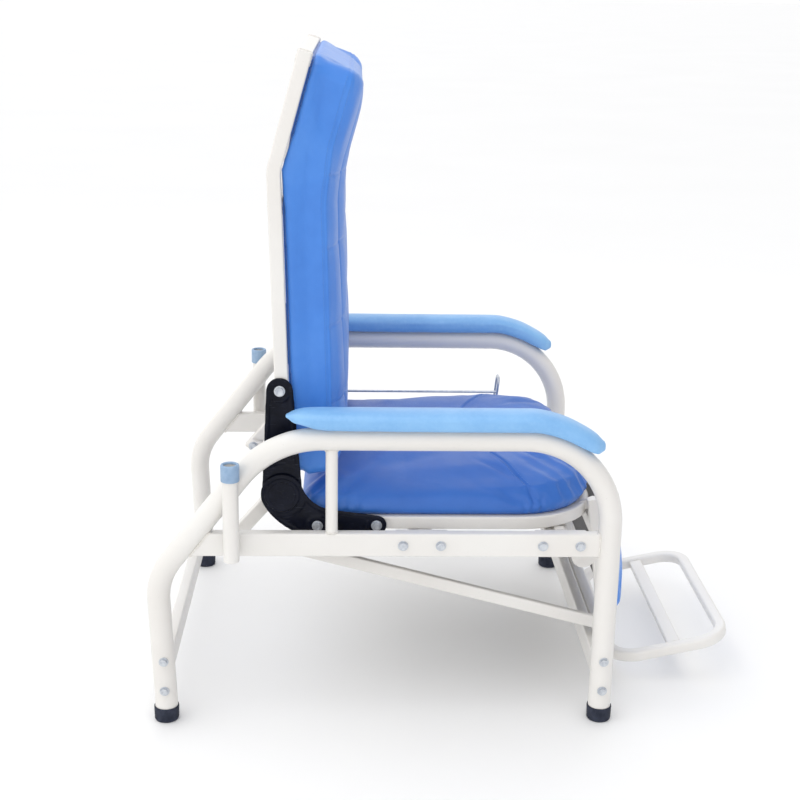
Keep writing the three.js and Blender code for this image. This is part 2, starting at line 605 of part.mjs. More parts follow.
// ---------------------------------------------------------------- recline linkage
// a bar with square or round ends between two points in side view
function link(from, to, half, reach, roundEnds) {
  const [a, b] = [new THREE.Vector2(...from), new THREE.Vector2(...to)];
  const along = b.clone().sub(a).normalize();
  const angle = along.angle();
  const side = new THREE.Vector2(-along.y, along.x).multiplyScalar(half);
  const profile = new THREE.Shape();
  if (roundEnds) {
    profile.absarc(a.x, a.y, half, angle + Math.PI / 2, angle + 1.5 * Math.PI);
    profile.absarc(b.x, b.y, half, angle - Math.PI / 2, angle + Math.PI / 2);
    return profile;
  }
  const tip = b.clone().addScaledVector(along, reach);
  profile.setFromPoints([
    a.clone().add(side), a.clone().sub(side), tip.clone().sub(side), tip.clone().add(side),
  ]);
  return profile;
}
for (const [label, side] of SIDES) {
  const lever = plate(link(LEVER_TOP, LEVER_PIVOT, BOX_TUBE / 2, LEVER_TAIL, false), across(side, LEVER_Y));
  add(`recline_lever_${label}`, cut(lever, holeAt(LEVER_PIVOT, PIVOT_PIN_R + GAP)), paint);
  const headY = LEVER_Y[1] + GAP;
  const pivotBolt = fuse(
    disc(...LEVER_PIVOT, PIVOT_HEAD_R, across(side, [headY, headY + BOLT_HEIGHT]), 6),
    disc(...LEVER_PIVOT, PIVOT_PIN_R, across(side, [ROD_Y[0], headY + 1]), 24),
  );
  add(`lever_bolt_${label}`, pivotBolt, zinc);
  const rod = plate(link(LEVER_PIVOT, ROD_FRONT, ROD_HALF, 0, true), across(side, ROD_Y));
  const rodHole = holeAt(LEVER_PIVOT, PIVOT_PIN_R + RUNNING);
  const rodHead = disc(...ROD_FRONT, PIVOT_HEAD_R, across(side, [ROD_Y[1] - 1, ROD_Y[1] + BOLT_HEIGHT]), 6);
  add(`link_rod_${label}`, fuse(cut(rod, rodHole), rodHead), paint);
}

// ---------------------------------------------------------------- leg rest
const legDown = new THREE.Vector2(Math.sin(LEG_LEAN), -Math.cos(LEG_LEAN));
const legFront = new THREE.Vector2(Math.cos(LEG_LEAN), Math.sin(LEG_LEAN));
function legPoint(t, y, n) {
  const p = new THREE.Vector2(...LIFT_PIVOT).addScaledVector(legDown, t).addScaledVector(legFront, n);
  return new THREE.Vector3(p.x, y, p.y);
}
const LEG_ARM_HALF = 10;
const ROD_LUG_R = 23;
const STOP_LUG = [345, 255];
const STOP_LUG_R = 21;
const FOLD_PIN_R = 4;
const FOLD_EAR_HALF = 8;
const armFoot = legPoint(LEG_ARM_LENGTH, 0, 0);
const legArms = SIDES.map(([, side]) => {
  const y = across(side, LEG_ARM_Y);
  const arm = plate(link(LIFT_PIVOT, [armFoot.x, armFoot.z], LEG_ARM_HALF, 0, true), y);
  const rodLug = disc(...ROD_FRONT, ROD_LUG_R, y, 24);
  const stopLug = disc(...STOP_LUG, STOP_LUG_R, y, 24);
  const pinHole = holeAt(LIFT_PIVOT, LIFT_PIN_R + RUNNING);
  return cut(fuse(arm, rodLug, stopLug), pinHole);
});
function legBar(t, [n0, n1], half, size) {
  const bar = new THREE.BoxGeometry(n1 - n0, 2 * half, size);
  bar.rotateY(-LEG_LEAN);
  const at = legPoint(t, 0, (n0 + n1) / 2);
  bar.translate(at.x, 0, at.z);
  return bar;
}
const foldEars = SIDES.flatMap(([, side]) => {
  const tube = legPoint(LEG_CROSS_T, 0, 0);
  const ear = link([tube.x, tube.z], FOLD_PIVOT, FOLD_EAR_HALF, 0, true);
  return [
    plate(ear, across(side, FOLD_EAR_Y)),
    disc(...FOLD_PIVOT, FOLD_PIN_R, across(side, [FOLD_EAR_Y[1] - 1, FOLD_TAB_Y[1] + 0.5]), 20),
  ];
});
const legCross = legBar(LEG_CROSS_T, [-LEG_ARM_HALF, LEG_ARM_HALF], LEG_ARM_Y[0] + 1, 20);
const padStrip = legBar(70, [-2, LEG_ARM_HALF], LEG_ARM_Y[0] + 1, 30);
add('legrest_frame', fuse(...legArms, legCross, padStrip, ...foldEars), paint);
const legOutline = padOutline(LEG_PAD_T, LEG_PAD_Y, 18, 34);
const legMap = (t, y, n) => legPoint(t, y, n);
const legBoardN = [LEG_ARM_HALF + GAP, LEG_ARM_HALF + 7];
const legBoard = padOutline([LEG_PAD_T[0] + 5, LEG_PAD_T[1] - 5], LEG_PAD_Y - 8, 14, 28);
add('legrest_board', padStack(legBoard, [[legBoardN[0], 0], [legBoardN[1], 0]], legMap), plywood);
const legLow = legBoardN[1] + GAP;
// height over the board and inset of each level of the leg pad
const LEG_LEVELS = [[0, 4], [4, 0], [14, 0], [20, 5], [25, 18], [27.5, 48]];
const legLevels = LEG_LEVELS.map(([height, inset]) => [legLow + height, inset]);
add('legrest_pad', padStack(legOutline, legLevels, legMap), vinyl);

// ---------------------------------------------------------------- footrest
const footAhead = new THREE.Vector2(Math.cos(FOOT_LEAN), Math.sin(FOOT_LEAN));
const footUp = new THREE.Vector2(-Math.sin(FOOT_LEAN), Math.cos(FOOT_LEAN));
function footPoint(s, y, n) {
  const p = new THREE.Vector2(...FOOT_BAR_REAR).addScaledVector(footAhead, s).addScaledVector(footUp, n);
  return new THREE.Vector3(p.x, y, p.y);
}
const footCorners = [
  [0, 0], [0, -FOOT_LOOP_Y], [FOOT_LOOP_LENGTH, -FOOT_LOOP_Y],
  [FOOT_LOOP_LENGTH, FOOT_LOOP_Y], [0, FOOT_LOOP_Y], [0, 0],
];
const footLoop = filleted(footCorners, [FOOT_LOOP_R, FOOT_LOOP_R, FOOT_LOOP_R, FOOT_LOOP_R], 10);
footLoop.pop();
const footTube = sweep(boxSection(FOOT_TUBE, FOOT_TUBE, 5), footLoop, footPoint, true);
const foldTabs = SIDES.map(([, side]) => {
  const tab = plate(link(FOOT_BAR_REAR, FOLD_PIVOT, FOLD_EAR_HALF, 0, true), across(side, FOLD_TAB_Y));
  return cut(tab, holeAt(FOLD_PIVOT, FOLD_PIN_R + RUNNING, 20));
});
add('footrest_frame', fuse(footTube, ...foldTabs), paint);
const barMiddle = footPoint(FOOT_BAR.s, 0, 0);
const barLength = 2 * (FOOT_LOOP_Y - FOOT_TUBE / 2 - GAP);
const footBar = new THREE.BoxGeometry(FOOT_BAR.width, barLength, FOOT_BAR.height);
footBar.rotateY(-FOOT_LEAN);
footBar.translate(barMiddle.x, 0, barMiddle.z);
add('footrest_bar', footBar, paint);

// ---------------------------------------------------------------- wire rack beside the left rail
const WIRE_R = 2.5;
const RACK_X = [-74, 234];
const RACK_Y = [289, 326];
const RACK_TOP = 427;
const RACK_FOOT_Z = RAIL_Z[1] + GAP;
const RACK_END_Z = 387;
const LONG_WIRE_Z = 399;
const FRONT_HOOP_LEAN = 0.1; // mm forward per mm of height
const hoops = RACK_X.map((x, i) => {
  const [inner, outer] = RACK_Y;
  const corners = [[outer, RACK_FOOT_Z], [outer, RACK_TOP], [inner, RACK_TOP], [inner, RACK_END_Z]];
  const forward = (z) => i * FRONT_HOOP_LEAN * (z - RAIL_Z[1]);
  return sweep(circle(WIRE_R, 8), filleted(corners, [12, 12], 22),
    (a, b, v) => new THREE.Vector3(x + v + forward(b), a, b));
});
const wirePath = [new THREE.Vector2(RACK_X[0], LONG_WIRE_Z), new THREE.Vector2(RACK_X[1] + 5, LONG_WIRE_Z)];
const longWire = sweep(circle(WIRE_R, 8), wirePath, inSideView(RACK_Y[0] + 1));
add('wire_rack', fuse(...hoops, longWire), zinc);

export default chair;
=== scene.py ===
"""The looks of a patient recliner chair: welded steel frame, pressed hinges, upholstery, studio."""
import math

import bmesh
import bpy
import numpy as np
from mathutils import Matrix, Vector, noise
from mathutils.bvhtree import BVHTree


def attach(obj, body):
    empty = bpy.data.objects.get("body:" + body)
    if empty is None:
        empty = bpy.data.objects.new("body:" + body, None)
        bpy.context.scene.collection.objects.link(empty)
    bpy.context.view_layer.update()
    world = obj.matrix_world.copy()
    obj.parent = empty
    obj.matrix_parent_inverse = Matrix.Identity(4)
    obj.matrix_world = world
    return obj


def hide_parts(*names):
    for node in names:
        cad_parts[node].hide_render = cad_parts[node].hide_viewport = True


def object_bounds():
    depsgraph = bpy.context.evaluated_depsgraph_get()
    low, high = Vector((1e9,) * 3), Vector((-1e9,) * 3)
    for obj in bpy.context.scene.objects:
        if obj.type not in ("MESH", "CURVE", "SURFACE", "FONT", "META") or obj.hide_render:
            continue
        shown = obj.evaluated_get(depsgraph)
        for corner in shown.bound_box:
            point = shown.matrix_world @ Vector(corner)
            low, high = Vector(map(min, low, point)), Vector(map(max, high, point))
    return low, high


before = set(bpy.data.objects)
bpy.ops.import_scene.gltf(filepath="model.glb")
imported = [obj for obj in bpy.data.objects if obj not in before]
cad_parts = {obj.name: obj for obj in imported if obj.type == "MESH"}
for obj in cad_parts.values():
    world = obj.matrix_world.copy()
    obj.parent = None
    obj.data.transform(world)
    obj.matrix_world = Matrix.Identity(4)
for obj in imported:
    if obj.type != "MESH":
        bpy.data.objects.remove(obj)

cad_low, cad_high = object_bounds()

# ------------------------------------------------------------------ layout, in millimetres
# x is measured from the middle between the feet, as in the model; at() turns it into the row frame
MM = 0.001
SHIFT_X = -117.05
SIDES = (("right", -1), ("left", 1))

TUBE_R = 19.0
SIDE_Y = 326.0
FOOT_X = (-368.0, 368.0)
ARM_Z = 500.5
SIDE_CORNERS = [(-368, 8.6), (-368, 38), (-376.5, 259), (-187, ARM_Z), (368, ARM_Z), (368, 8.6)]
SIDE_RADII = (0, 110, 170, 145)
RAIL_Y, RAIL_Z = (316.0, 336.0), (300.0, 340.0)
RAIL_LOW_X, RAIL_TOP_X, RAIL_FRONT_X = -319.0, -287.8, 348.7
RAIL_MIDDLE_Z = 320.0
RAIL_BOLT_X = (27, 89, 257, 319)
LEG_BOLT_Z = (60, 114)
POST_X, POST_R = -90.0, 10.0
SOCKET_X, SOCKET_Y, SOCKET_R, SOCKET_BORE = -251.0, 358.6, 13.0, 10.0
SOCKET_Z = (302.0, 464.0)
CROSS_Z, CROSS_X = (67.0, 107.0), (-370.0, 366.0)
CROSS_PLATE, CROSS_PLATE_Z = (22.0, 84.0, 3.0), 87.0
BEAM_X, BEAM_Z = (58.0, 288.0), (302.0, 322.0)
BEAM_PLATE, BEAM_BOLT_X = (88.0, 38.0, 4.0), 31.0
END_PLATE_T = 4.0
STAND, STAND_AHEAD = 16.0, 4.0
BOX = 22.0
SEAT_X, SEAT_Y, SEAT_Z, SEAT_CORNER = (-115.0, 347.0), 273.0, 339.0, 120.0
SEAT_BOARD_TOP = 356.6
HUB = (-172.0, 392.0)
HUB_R = 35.5
HINGE_UPPER_Y, HINGE_LOWER_Y = (284.3, 288.3), (290.6, 294.6)
HINGE_BOLT_TOP = (-175.0, 568.0)
HINGE_BOLTS_LOW = ((-114.0, 338.0), (-16.0, 339.0))
BACK_LEAN, HEAD_LEAN = math.radians(-1.67), math.radians(15.5)
BACK_FOOT = Vector((-167.0, 392.0))
BACK_BEND_S, BACK_TOP_S, BACK_BEND_R = 529.0, 716.0, 400.0
BACK_Y, BACK_BOARD_Y = 273.0, 263.0
BACK_SEAM_N = 76.0
LEVER_TOP, LEVER_PIVOT = (-165.0, 404.0), (-256.0, 300.0)
LEVER_Y, ROD_Y = (239.7, 261.7), (226.5, 238.5)
ROD_FRONT = (386.0, 131.0)
LIFT_PIVOT = Vector((358.0, 350.0))
LIFT_LUG_R, LIFT_LUG_T, LIFT_LUG_REACH, LIFT_PIN_R = 9.0, 6.0, 25.0, 6.0
LEG_LEAN = math.radians(7.5)
LEG_ARM_Y, LEG_ARM_HALF, LEG_ARM_LENGTH = (210.0, 226.0), 10.0, 282.0
LEG_CROSS_T, LEG_STRIP_T, LEG_PAD_T = 262.0, 70.0, (-13.0, 208.0)
STOP_LUG = (345.0, 255.0)
ROD_LUG_R, STOP_LUG_R, LUG_T = 22.8, 20.8, 6.0
FOLD_PIVOT, FOOT_BAR = (396.0, 45.0), Vector((417.0, 41.0))
FOLD_EAR_Y, FOLD_TAB_Y, FOLD_HALF, FOLD_R = (90.0, 96.0), (96.5, 101.5), 7.0, 7.8
FOOT_LEAN = math.radians(12.4)
FOOT_LOOP = (205.0, 193.0)
FOOT_CORNER, FOOT_TUBE, FOOT_BAR_S, FOOT_BAR_HALF = 50.0, 20.0, 112.0, 12.0
FOOT_BAR_T = 14.0
RACK_X, RACK_Y, RACK_TOP = (-74.0, 234.0), (289.0, 326.0), 427.0
RACK_END_Z, RACK_WIRE_Z, RACK_TILT = 387.0, 399.0, 0.1

X, Y, Z = Vector((1, 0, 0)), Vector((0, 1, 0)), Vector((0, 0, 1))


def at(x, y, z):
    return Vector(((x + SHIFT_X) * MM, y * MM, z * MM))


def layout(co):
    """The inverse of at: x, y and z in layout millimetres."""
    return co.x / MM - SHIFT_X, co.y / MM, co.z / MM


def side_layout(co):
    return Vector((co.x / MM - SHIFT_X, co.z / MM))


def side_view(y):
    """Maps a flat (x, z) path plus an offset across it to the row frame."""
    return lambda a, b, across: at(a, y + across, b)


def plan_view(z):
    return lambda a, b, across: at(a, b, z + across)


def lean_up(angle):
    return Vector((math.sin(angle), math.cos(angle)))


def lean_ahead(angle):
    return Vector((math.cos(angle), -math.sin(angle)))


ARC_SPAN = BACK_BEND_R * (HEAD_LEAN - BACK_LEAN)
ARC_START = BACK_BEND_S - ARC_SPAN / 2


def back_lift(s):
    """How far the pad stands off the uprights where they bend."""
    return 3.2 * max(0.0, 1 - abs(s - BACK_BEND_S) / 60)


def back_point(s, y, n):
    """A point s up the backrest, y across it and n in front of the uprights' centre line."""
    n += back_lift(s)
    turn = min(max((s - ARC_START) / BACK_BEND_R, 0.0), HEAD_LEAN - BACK_LEAN)
    angle = BACK_LEAN + turn
    p = BACK_FOOT + lean_up(BACK_LEAN) * min(s, ARC_START)
    p = p + (lean_ahead(BACK_LEAN) - lean_ahead(angle)) * BACK_BEND_R
    p = p + lean_up(angle) * max(0.0, s - ARC_START - ARC_SPAN) + lean_ahead(angle) * n
    return at(p.x, y, p.y)


def back_coords(co):
    """The inverse of back_point, in millimetres, with the direction the pad faces there."""
    p = side_layout(co) - BACK_FOOT
    up, ahead = lean_up(BACK_LEAN), lean_ahead(BACK_LEAN)
    s, n, angle = p.dot(up), p.dot(ahead), BACK_LEAN
    if s > ARC_START:
        hub = up * ARC_START + ahead * BACK_BEND_R
        arm = p - hub
        turn = math.atan2(arm.dot(up), -arm.dot(ahead))
        if turn < HEAD_LEAN - BACK_LEAN:
            s, n = ARC_START + BACK_BEND_R * turn, BACK_BEND_R - arm.length
            angle = BACK_LEAN + turn
        else:
            angle = HEAD_LEAN
            s = ARC_START + ARC_SPAN + arm.dot(lean_up(angle))
            n = arm.dot(lean_ahead(angle)) + BACK_BEND_R
    facing = lean_ahead(angle)
    return s, n - back_lift(s), Vector((facing.x, 0, facing.y))


def leg_point(t, y, n):
    down = Vector((math.sin(LEG_LEAN), -math.cos(LEG_LEAN)))
    p = LIFT_PIVOT + down * t + Vector((math.cos(LEG_LEAN), math.sin(LEG_LEAN))) * n
    return at(p.x, y, p.y)


def foot_point(s, y, n):
    p = FOOT_BAR + Vector((math.cos(FOOT_LEAN), math.sin(FOOT_LEAN))) * s
    p = p + Vector((-math.sin(FOOT_LEAN), math.cos(FOOT_LEAN))) * n
    return at(p.x, y, p.y)


def smooth(x, low, high):
    t = min(max((x - low) / (high - low), 0.0), 1.0)
    return t * t * (3 - 2 * t)


def bell(x, width):
    return math.exp(-(x / width) ** 2)


# ------------------------------------------------------------------ materials
class Look:
    """A Principled material with the few pattern nodes that every finish here is made of."""

    def __init__(self, name, color, roughness, **constants):
        self.material = bpy.data.materials.new(name)
        self.material.use_nodes = True
        self.tree = self.material.node_tree
        self.shader = self.tree.nodes["Principled BSDF"]
        self.shader.inputs["Base Color"].default_value = (*color, 1)
        self.shader.inputs["Roughness"].default_value = roughness
        for socket, value in constants.items():
            self.shader.inputs[socket.replace("_", " ")].default_value = value
        self.place = self.node("ShaderNodeTexCoord").outputs["Object"]
        self.normal = None

    def node(self, kind, **settings):
        made = self.tree.nodes.new(kind)
        for key, value in settings.items():
            setattr(made, key, value)
        return made

    def link(self, a, b):
        self.tree.links.new(a, b)

    def stretched(self, x, y, z):
        mapping = self.node("ShaderNodeMapping")
        mapping.inputs["Scale"].default_value = (x, y, z)
        self.link(self.place, mapping.inputs["Vector"])
        return mapping.outputs["Vector"]

    def noise(self, scale, detail=3.0, rough=0.55, where=None, distortion=0.0):
        made = self.node("ShaderNodeTexNoise")
        made.inputs["Scale"].default_value = scale
        made.inputs["Detail"].default_value = detail
        made.inputs["Roughness"].default_value = rough
        made.inputs["Distortion"].default_value = distortion
        self.link(where or self.place, made.inputs["Vector"])
        return made.outputs["Fac"]

    def cells(self, scale, feature="F1", where=None):
        made = self.node("ShaderNodeTexVoronoi", feature=feature)
        made.inputs["Scale"].default_value = scale
        self.link(where or self.place, made.inputs["Vector"])
        return made.outputs["Distance"]

    def ramp(self, source, *stops):
        """stops are (position, value or colour)"""
        made = self.node("ShaderNodeValToRGB")
        band = made.color_ramp
        while len(band.elements) < len(stops):
            band.elements.new(0.5)
        for element, (position, value) in zip(band.elements, stops):
            element.position = position
            element.color = (*value, 1) if isinstance(value, tuple) else (value, value, value, 1)
        self.link(source, made.inputs["Fac"])
        return made.outputs["Color"]

    def mixed(self, factor, a, b, kind="MIX"):
        made = self.node("ShaderNodeMix", data_type="RGBA", blend_type=kind)
        for socket, value in (("Factor", factor), ("A", a), ("B", b)):
            port = [p for p in made.inputs if p.name == socket and p.enabled][0]
            if isinstance(value, tuple):
                port.default_value = (*value, 1)
            elif isinstance(value, float):
                port.default_value = value
            else:
                self.link(value, port)
        return [p for p in made.outputs if p.enabled][0]

    def color(self, source):
        self.link(source, self.shader.inputs["Base Color"])

    def tint(self, source, *stops):
        self.color(self.ramp(source, *stops))

    def rough(self, source, low, high):
        made = self.node("ShaderNodeMapRange")
        made.inputs["To Min"].default_value = low
        made.inputs["To Max"].default_value = high
        self.link(source, made.inputs["Value"])
        self.link(made.outputs[0], self.shader.inputs["Roughness"])

    def bump(self, source, depth_mm, strength=1.0):
        """Adds a relief of that depth to the ones before it."""
        made = self.node("ShaderNodeBump")
        made.inputs["Distance"].default_value = depth_mm * MM
        made.inputs["Strength"].default_value = strength
        self.link(source, made.inputs["Height"])
        if self.normal is not None:
            self.link(self.normal, made.inputs["Normal"])
        self.normal = made.outputs["Normal"]
        self.link(self.normal, self.shader.inputs["Normal"])


def powder_coat():
    """Warm white powder coat: orange peel, faint dusting and a few worn grey specks."""
    look = Look("powder_coat_warm_white", (0.80, 0.78, 0.74), 0.36, Specular_IOR_Level=0.5,
                Coat_Weight=0.25, Coat_Roughness=0.22)
    cloud = look.noise(5.0, 4.0)
    tone = look.ramp(cloud, (0.3, (0.76, 0.735, 0.70)), (0.7, (0.80, 0.785, 0.757)))
    specks = look.ramp(look.noise(330.0, 2.0), (0.71, 0.0), (0.76, 0.5))
    look.color(look.mixed(specks, tone, (0.60, 0.58, 0.55)))
    look.rough(look.noise(26.0, 3.0), 0.28, 0.46)
    look.bump(look.noise(420.0, 2.0, 0.5), 0.12, 0.35)
    look.bump(look.noise(45.0, 2.0), 0.25, 0.2)
    return look.material


def weld_coat():
    """The same coat over a weld: lumpier, a little duller, with painted shade in the hollows between the
    lumps.
    """
    look = Look("powder_coat_over_weld", (0.78, 0.76, 0.72), 0.45, Coat_Weight=0.15, Coat_Roughness=0.3)
    lumps = look.noise(260.0, 3.0)
    # painted shade: the low parts of the lumps take the darker colour
    look.tint(lumps, (0.3, (0.66, 0.63, 0.58)), (0.65, (0.81, 0.79, 0.75)))
    look.rough(lumps, 0.35, 0.6)
    look.bump(lumps, 0.8, 0.6)
    return look.material


def black_enamel():
    """Gloss black paint on pressed steel, with dust and hairline scuffs."""
    look = Look("gloss_black_enamel", (0.004, 0.005, 0.012), 0.3, Coat_Weight=0.04,
                Coat_Roughness=0.1, Specular_IOR_Level=0.12)
    haze = look.noise(22.0, 5.0, 0.65)
    lines = look.noise(60.0, 2.0, 0.5, look.stretched(1.0, 1.0, 9.0), 0.8)
    scuff = look.ramp(lines, (0.66, 0.0), (0.70, 0.35))
    base = look.ramp(haze, (0.35, (0.002, 0.003, 0.008)), (0.72, (0.008, 0.010, 0.022)))
    look.color(look.mixed(scuff, base, (0.05, 0.055, 0.075)))
    look.rough(haze, 0.14, 0.34)
    look.bump(look.noise(240.0, 2.0), 0.1, 0.35)
    look.bump(look.noise(40.0, 2.0), 0.5, 0.15)
    return look.material


def zinc_plate():
    """Bright zinc: fine grain, cloudy passivation and slightly dull patches."""
    look = Look("bright_zinc", (0.60, 0.63, 0.67), 0.32, Metallic=0.9)
    look.tint(look.noise(120.0, 4.0, 0.6), (0.3, (0.47, 0.50, 0.55)), (0.55, (0.62, 0.65, 0.69)),
              (0.8, (0.72, 0.73, 0.72)))
    look.rough(look.noise(300.0, 3.0), 0.22, 0.5)
    look.bump(look.noise(900.0, 2.0), 0.06, 0.5)
    return look.material


def upholstery(name, deep, mid, light):
    """Smooth polyurethane cloth: pebble grain with painted shade in its creases, stretch creases and a soft
    satin shine.
    """
    look = Look(name, mid, 0.42, Specular_IOR_Level=0.5, Sheen_Weight=0.12, Sheen_Roughness=0.45,
                Coat_Weight=0.12, Coat_Roughness=0.35)
    cloud = look.noise(6.0, 4.0, 0.55)
    tone = look.ramp(cloud, (0.28, deep), (0.5, mid), (0.74, light))
    grain = look.cells(620.0, "DISTANCE_TO_EDGE")
    pits = look.ramp(grain, (0.0, 0.0), (0.16, 1.0))
    dust = look.ramp(look.noise(48.0, 6.0, 0.7), (0.42, 0.0), (0.8, 0.16))
    # painted shade: the creases between the pebbles, where pits is 0, take the deep blue; pits also drives
    # the real bump
    pebble_crease_shade = look.mixed(pits, deep, tone)
    shaded = look.mixed(0.35, tone, pebble_crease_shade)
    look.color(look.mixed(dust, shaded, light))
    look.rough(look.noise(34.0, 4.0, 0.6), 0.34, 0.52)
    look.bump(pits, 0.16, 0.45)
    look.bump(look.noise(1500.0, 2.0), 0.08, 0.4)
    look.bump(look.noise(26.0, 3.0, 0.5, None, 1.6), 1.4, 0.13)
    return look.material


def arm_skin():
    """The arm pads' own moulded skin: paler, finer, with a faint mottling from the mould."""
    look = Look("arm_pad_skin", (0.22, 0.47, 0.80), 0.4, Specular_IOR_Level=0.5, Coat_Weight=0.15,
                Coat_Roughness=0.3)
    cloud = look.noise(9.0, 5.0, 0.6)
    tone = look.ramp(cloud, (0.3, (0.185, 0.42, 0.76)), (0.5, (0.215, 0.465, 0.80)),
                     (0.75, (0.27, 0.53, 0.84)))
    mottle = look.ramp(look.noise(150.0, 3.0), (0.45, 0.0), (0.75, 0.28))
    look.color(look.mixed(mottle, tone, (0.30, 0.56, 0.86)))
    look.rough(look.noise(70.0, 3.0), 0.3, 0.5)
    grain = look.ramp(look.cells(460.0, "SMOOTH_F1"), (0.1, 1.0), (0.7, 0.0))
    look.bump(grain, 0.22, 0.35)
    look.bump(look.noise(30.0, 2.0), 1.0, 0.12)
    return look.material


def rubber():
    look = Look("navy_rubber", (0.022, 0.027, 0.05), 0.7, Specular_IOR_Level=0.25)
    bloom = look.noise(70.0, 5.0, 0.65)
    look.tint(bloom, (0.35, (0.013, 0.017, 0.032)), (0.75, (0.045, 0.052, 0.08)))
    look.rough(bloom, 0.55, 0.85)
    look.bump(look.noise(700.0, 2.0), 0.12, 0.5)
    return look.material


def moulded_cap():
    look = Look("cap_plastic", (0.27, 0.40, 0.58), 0.45)
    look.tint(look.noise(80.0, 4.0), (0.3, (0.23, 0.355, 0.53)), (0.7, (0.33, 0.465, 0.64)))
    look.rough(look.noise(200.0, 3.0), 0.35, 0.6)
    look.bump(look.noise(500.0, 2.0), 0.1, 0.5)
    return look.material


def dust_cloth():
    """Black bonded fabric over the boards: pressed fibre grid."""
    look = Look("black_dust_cloth", (0.02, 0.02, 0.024), 0.85, Sheen_Weight=0.25, Sheen_Roughness=0.6)
    fibres = look.noise(900.0, 3.0, 0.6, look.stretched(1.0, 0.25, 1.0))
    look.tint(fibres, (0.35, (0.012, 0.012, 0.015)), (0.7, (0.05, 0.05, 0.056)))
    look.rough(fibres, 0.75, 0.95)
    look.bump(look.cells(420.0), 0.2, 0.4)
    look.bump(fibres, 0.25, 0.5)
    return look.material


def thread(name, color, dark):
    look = Look(name, color, 0.6, Sheen_Weight=0.3, Sheen_Roughness=0.4)
    twist = look.node("ShaderNodeTexWave", wave_type="BANDS", bands_direction="DIAGONAL")
    twist.inputs["Scale"].default_value = 900.0
    look.link(look.place, twist.inputs["Vector"])
    look.tint(twist.outputs["Fac"], (0.1, dark), (0.8, color))
    look.bump(twist.outputs["Fac"], 0.15, 0.6)
    look.rough(look.noise(300.0), 0.5, 0.75)
    return look.material


def floor_look():
    look = Look("studio_floor", (0.93, 0.93, 0.93), 0.6, Specular_IOR_Level=0.2)
    look.tint(look.noise(0.8, 3.0), (0.3, 0.925), (0.7, 0.94))
    return look.material


# each blue is its deep, middle and light shade; the seat's cover is a darker copy of the same blue, painted
# shade for the seat lying under the arms
BLUE = ((0.042, 0.20, 0.66), (0.052, 0.235, 0.73), (0.080, 0.285, 0.79))
SHADED_SEAT_BLUE = ((0.019, 0.124, 0.487), (0.024, 0.148, 0.552), (0.039, 0.180, 0.600))
LOOKS = {
    "paint": powder_coat(),
    "weld": weld_coat(),
    "black_steel": black_enamel(),
    "zinc": zinc_plate(),
    "vinyl": upholstery("blue_upholstery", *BLUE),
    "vinyl_seat": upholstery("blue_upholstery_seat_shaded", *SHADED_SEAT_BLUE),
    "pale_vinyl": arm_skin(),
    "rubber": rubber(),
    "cap": moulded_cap(),
    "plywood": dust_cloth(),
    "thread": thread("blue_thread", (0.12, 0.33, 0.78), (0.05, 0.18, 0.5)),
}


# ------------------------------------------------------------------ mesh helpers
def angles(count):
    return [2 * math.pi * k / count for k in range(count)]


def spoke(u, v, angle):
    return u * math.cos(angle) + v * math.sin(angle)


def circle(radius, count=40):
    return [(radius * math.cos(a), radius * math.sin(a)) for a in angles(count)]


def rounded_box(width, height, radius, steps=5):
    """A box section whose corners are rounded, as drawn steel tube has them."""
    points = []
    for k, (sx, sy) in enumerate(((1, 1), (-1, 1), (-1, -1), (1, -1))):
        for i in range(steps + 1):
            a = math.pi / 2 * (k + i / steps)
            points.append((sx * (width / 2 - radius) + radius * math.cos(a),
                           sy * (height / 2 - radius) + radius * math.sin(a)))
    return points


def filleted(corners, radii, degrees=4.0):
    """The corners of a flat path, each inner one rounded by its radius."""
    path = [Vector(corners[0])]
    for i in range(1, len(corners) - 1):
        here = Vector(corners[i])
        back = (Vector(corners[i - 1]) - here).normalized()
        ahead = (Vector(corners[i + 1]) - here).normalized()
        turn = math.pi - back.angle(ahead)
        radius = radii[i - 1]
        if radius == 0 or turn < 1e-4:
            path.append(here)
            continue
        start = here + back * radius * math.tan(turn / 2)
        centre = here + (back + ahead).normalized() * radius / math.cos(turn / 2)
        arm = start - centre
        sign = 1 if back.x * ahead.y - back.y * ahead.x < 0 else -1
        steps = max(2, round(math.degrees(turn) / degrees))
        for k in range(steps + 1):
            angle = sign * turn * k / steps
            path.append(centre + Vector((arm.x * math.cos(angle) - arm.y * math.sin(angle),
                                         arm.x * math.sin(angle) + arm.y * math.cos(angle))))
    path.append(Vector(corners[-1]))
    return path


def subdivided(path, longest):
    """The path with long straight runs split, so that a bent or dented tube has points to move."""
    points = [path[0]]
    for a, b in zip(path, path[1:]):
        parts = max(1, math.ceil((b - a).length / longest))
        points += [a.lerp(b, k / parts) for k in range(1, parts + 1)]
    return points


def skin(rings, closed=False):
    """A shell (points, faces) over rings of matching points."""
    count = len(rings[0])
    points = [p for ring in rings for p in ring]
    faces = []
    spans = len(rings) if closed else len(rings) - 1
    for r in range(spans):
        low, high = r * count, ((r + 1) % len(rings)) * count
        faces += [(low + i, low + (i + 1) % count, high + (i + 1) % count, high + i) for i in range(count)]
    if not closed:
        faces.append(tuple(range(count))[::-1])
        faces.append(tuple(range((len(rings) - 1) * count, len(rings) * count)))
    return points, faces


def sweep(section, path, to_space, closed=False):
    """A section of (in-plane, across) points swept along a flat path."""
    n = len(path)
    rings = []
    for i, here in enumerate(path):
        before = path[(i - 1) % n] if closed else path[max(i - 1, 0)]
        after = path[(i + 1) % n] if closed else path[min(i + 1, n - 1)]
        inward, outward = here - before, after - here
        inward = (inward if inward.length > 1e-6 else outward).normalized()
        outward = (outward if outward.length > 1e-6 else inward).normalized()
        tangent = (inward + outward).normalized()
        side = Vector((-tangent.y, tangent.x)) / max(tangent.dot(outward), 0.3)
        rings.append([to_space(here.x + side.x * u, here.y + side.y * u, v) for u, v in section])
    return skin(rings, closed)


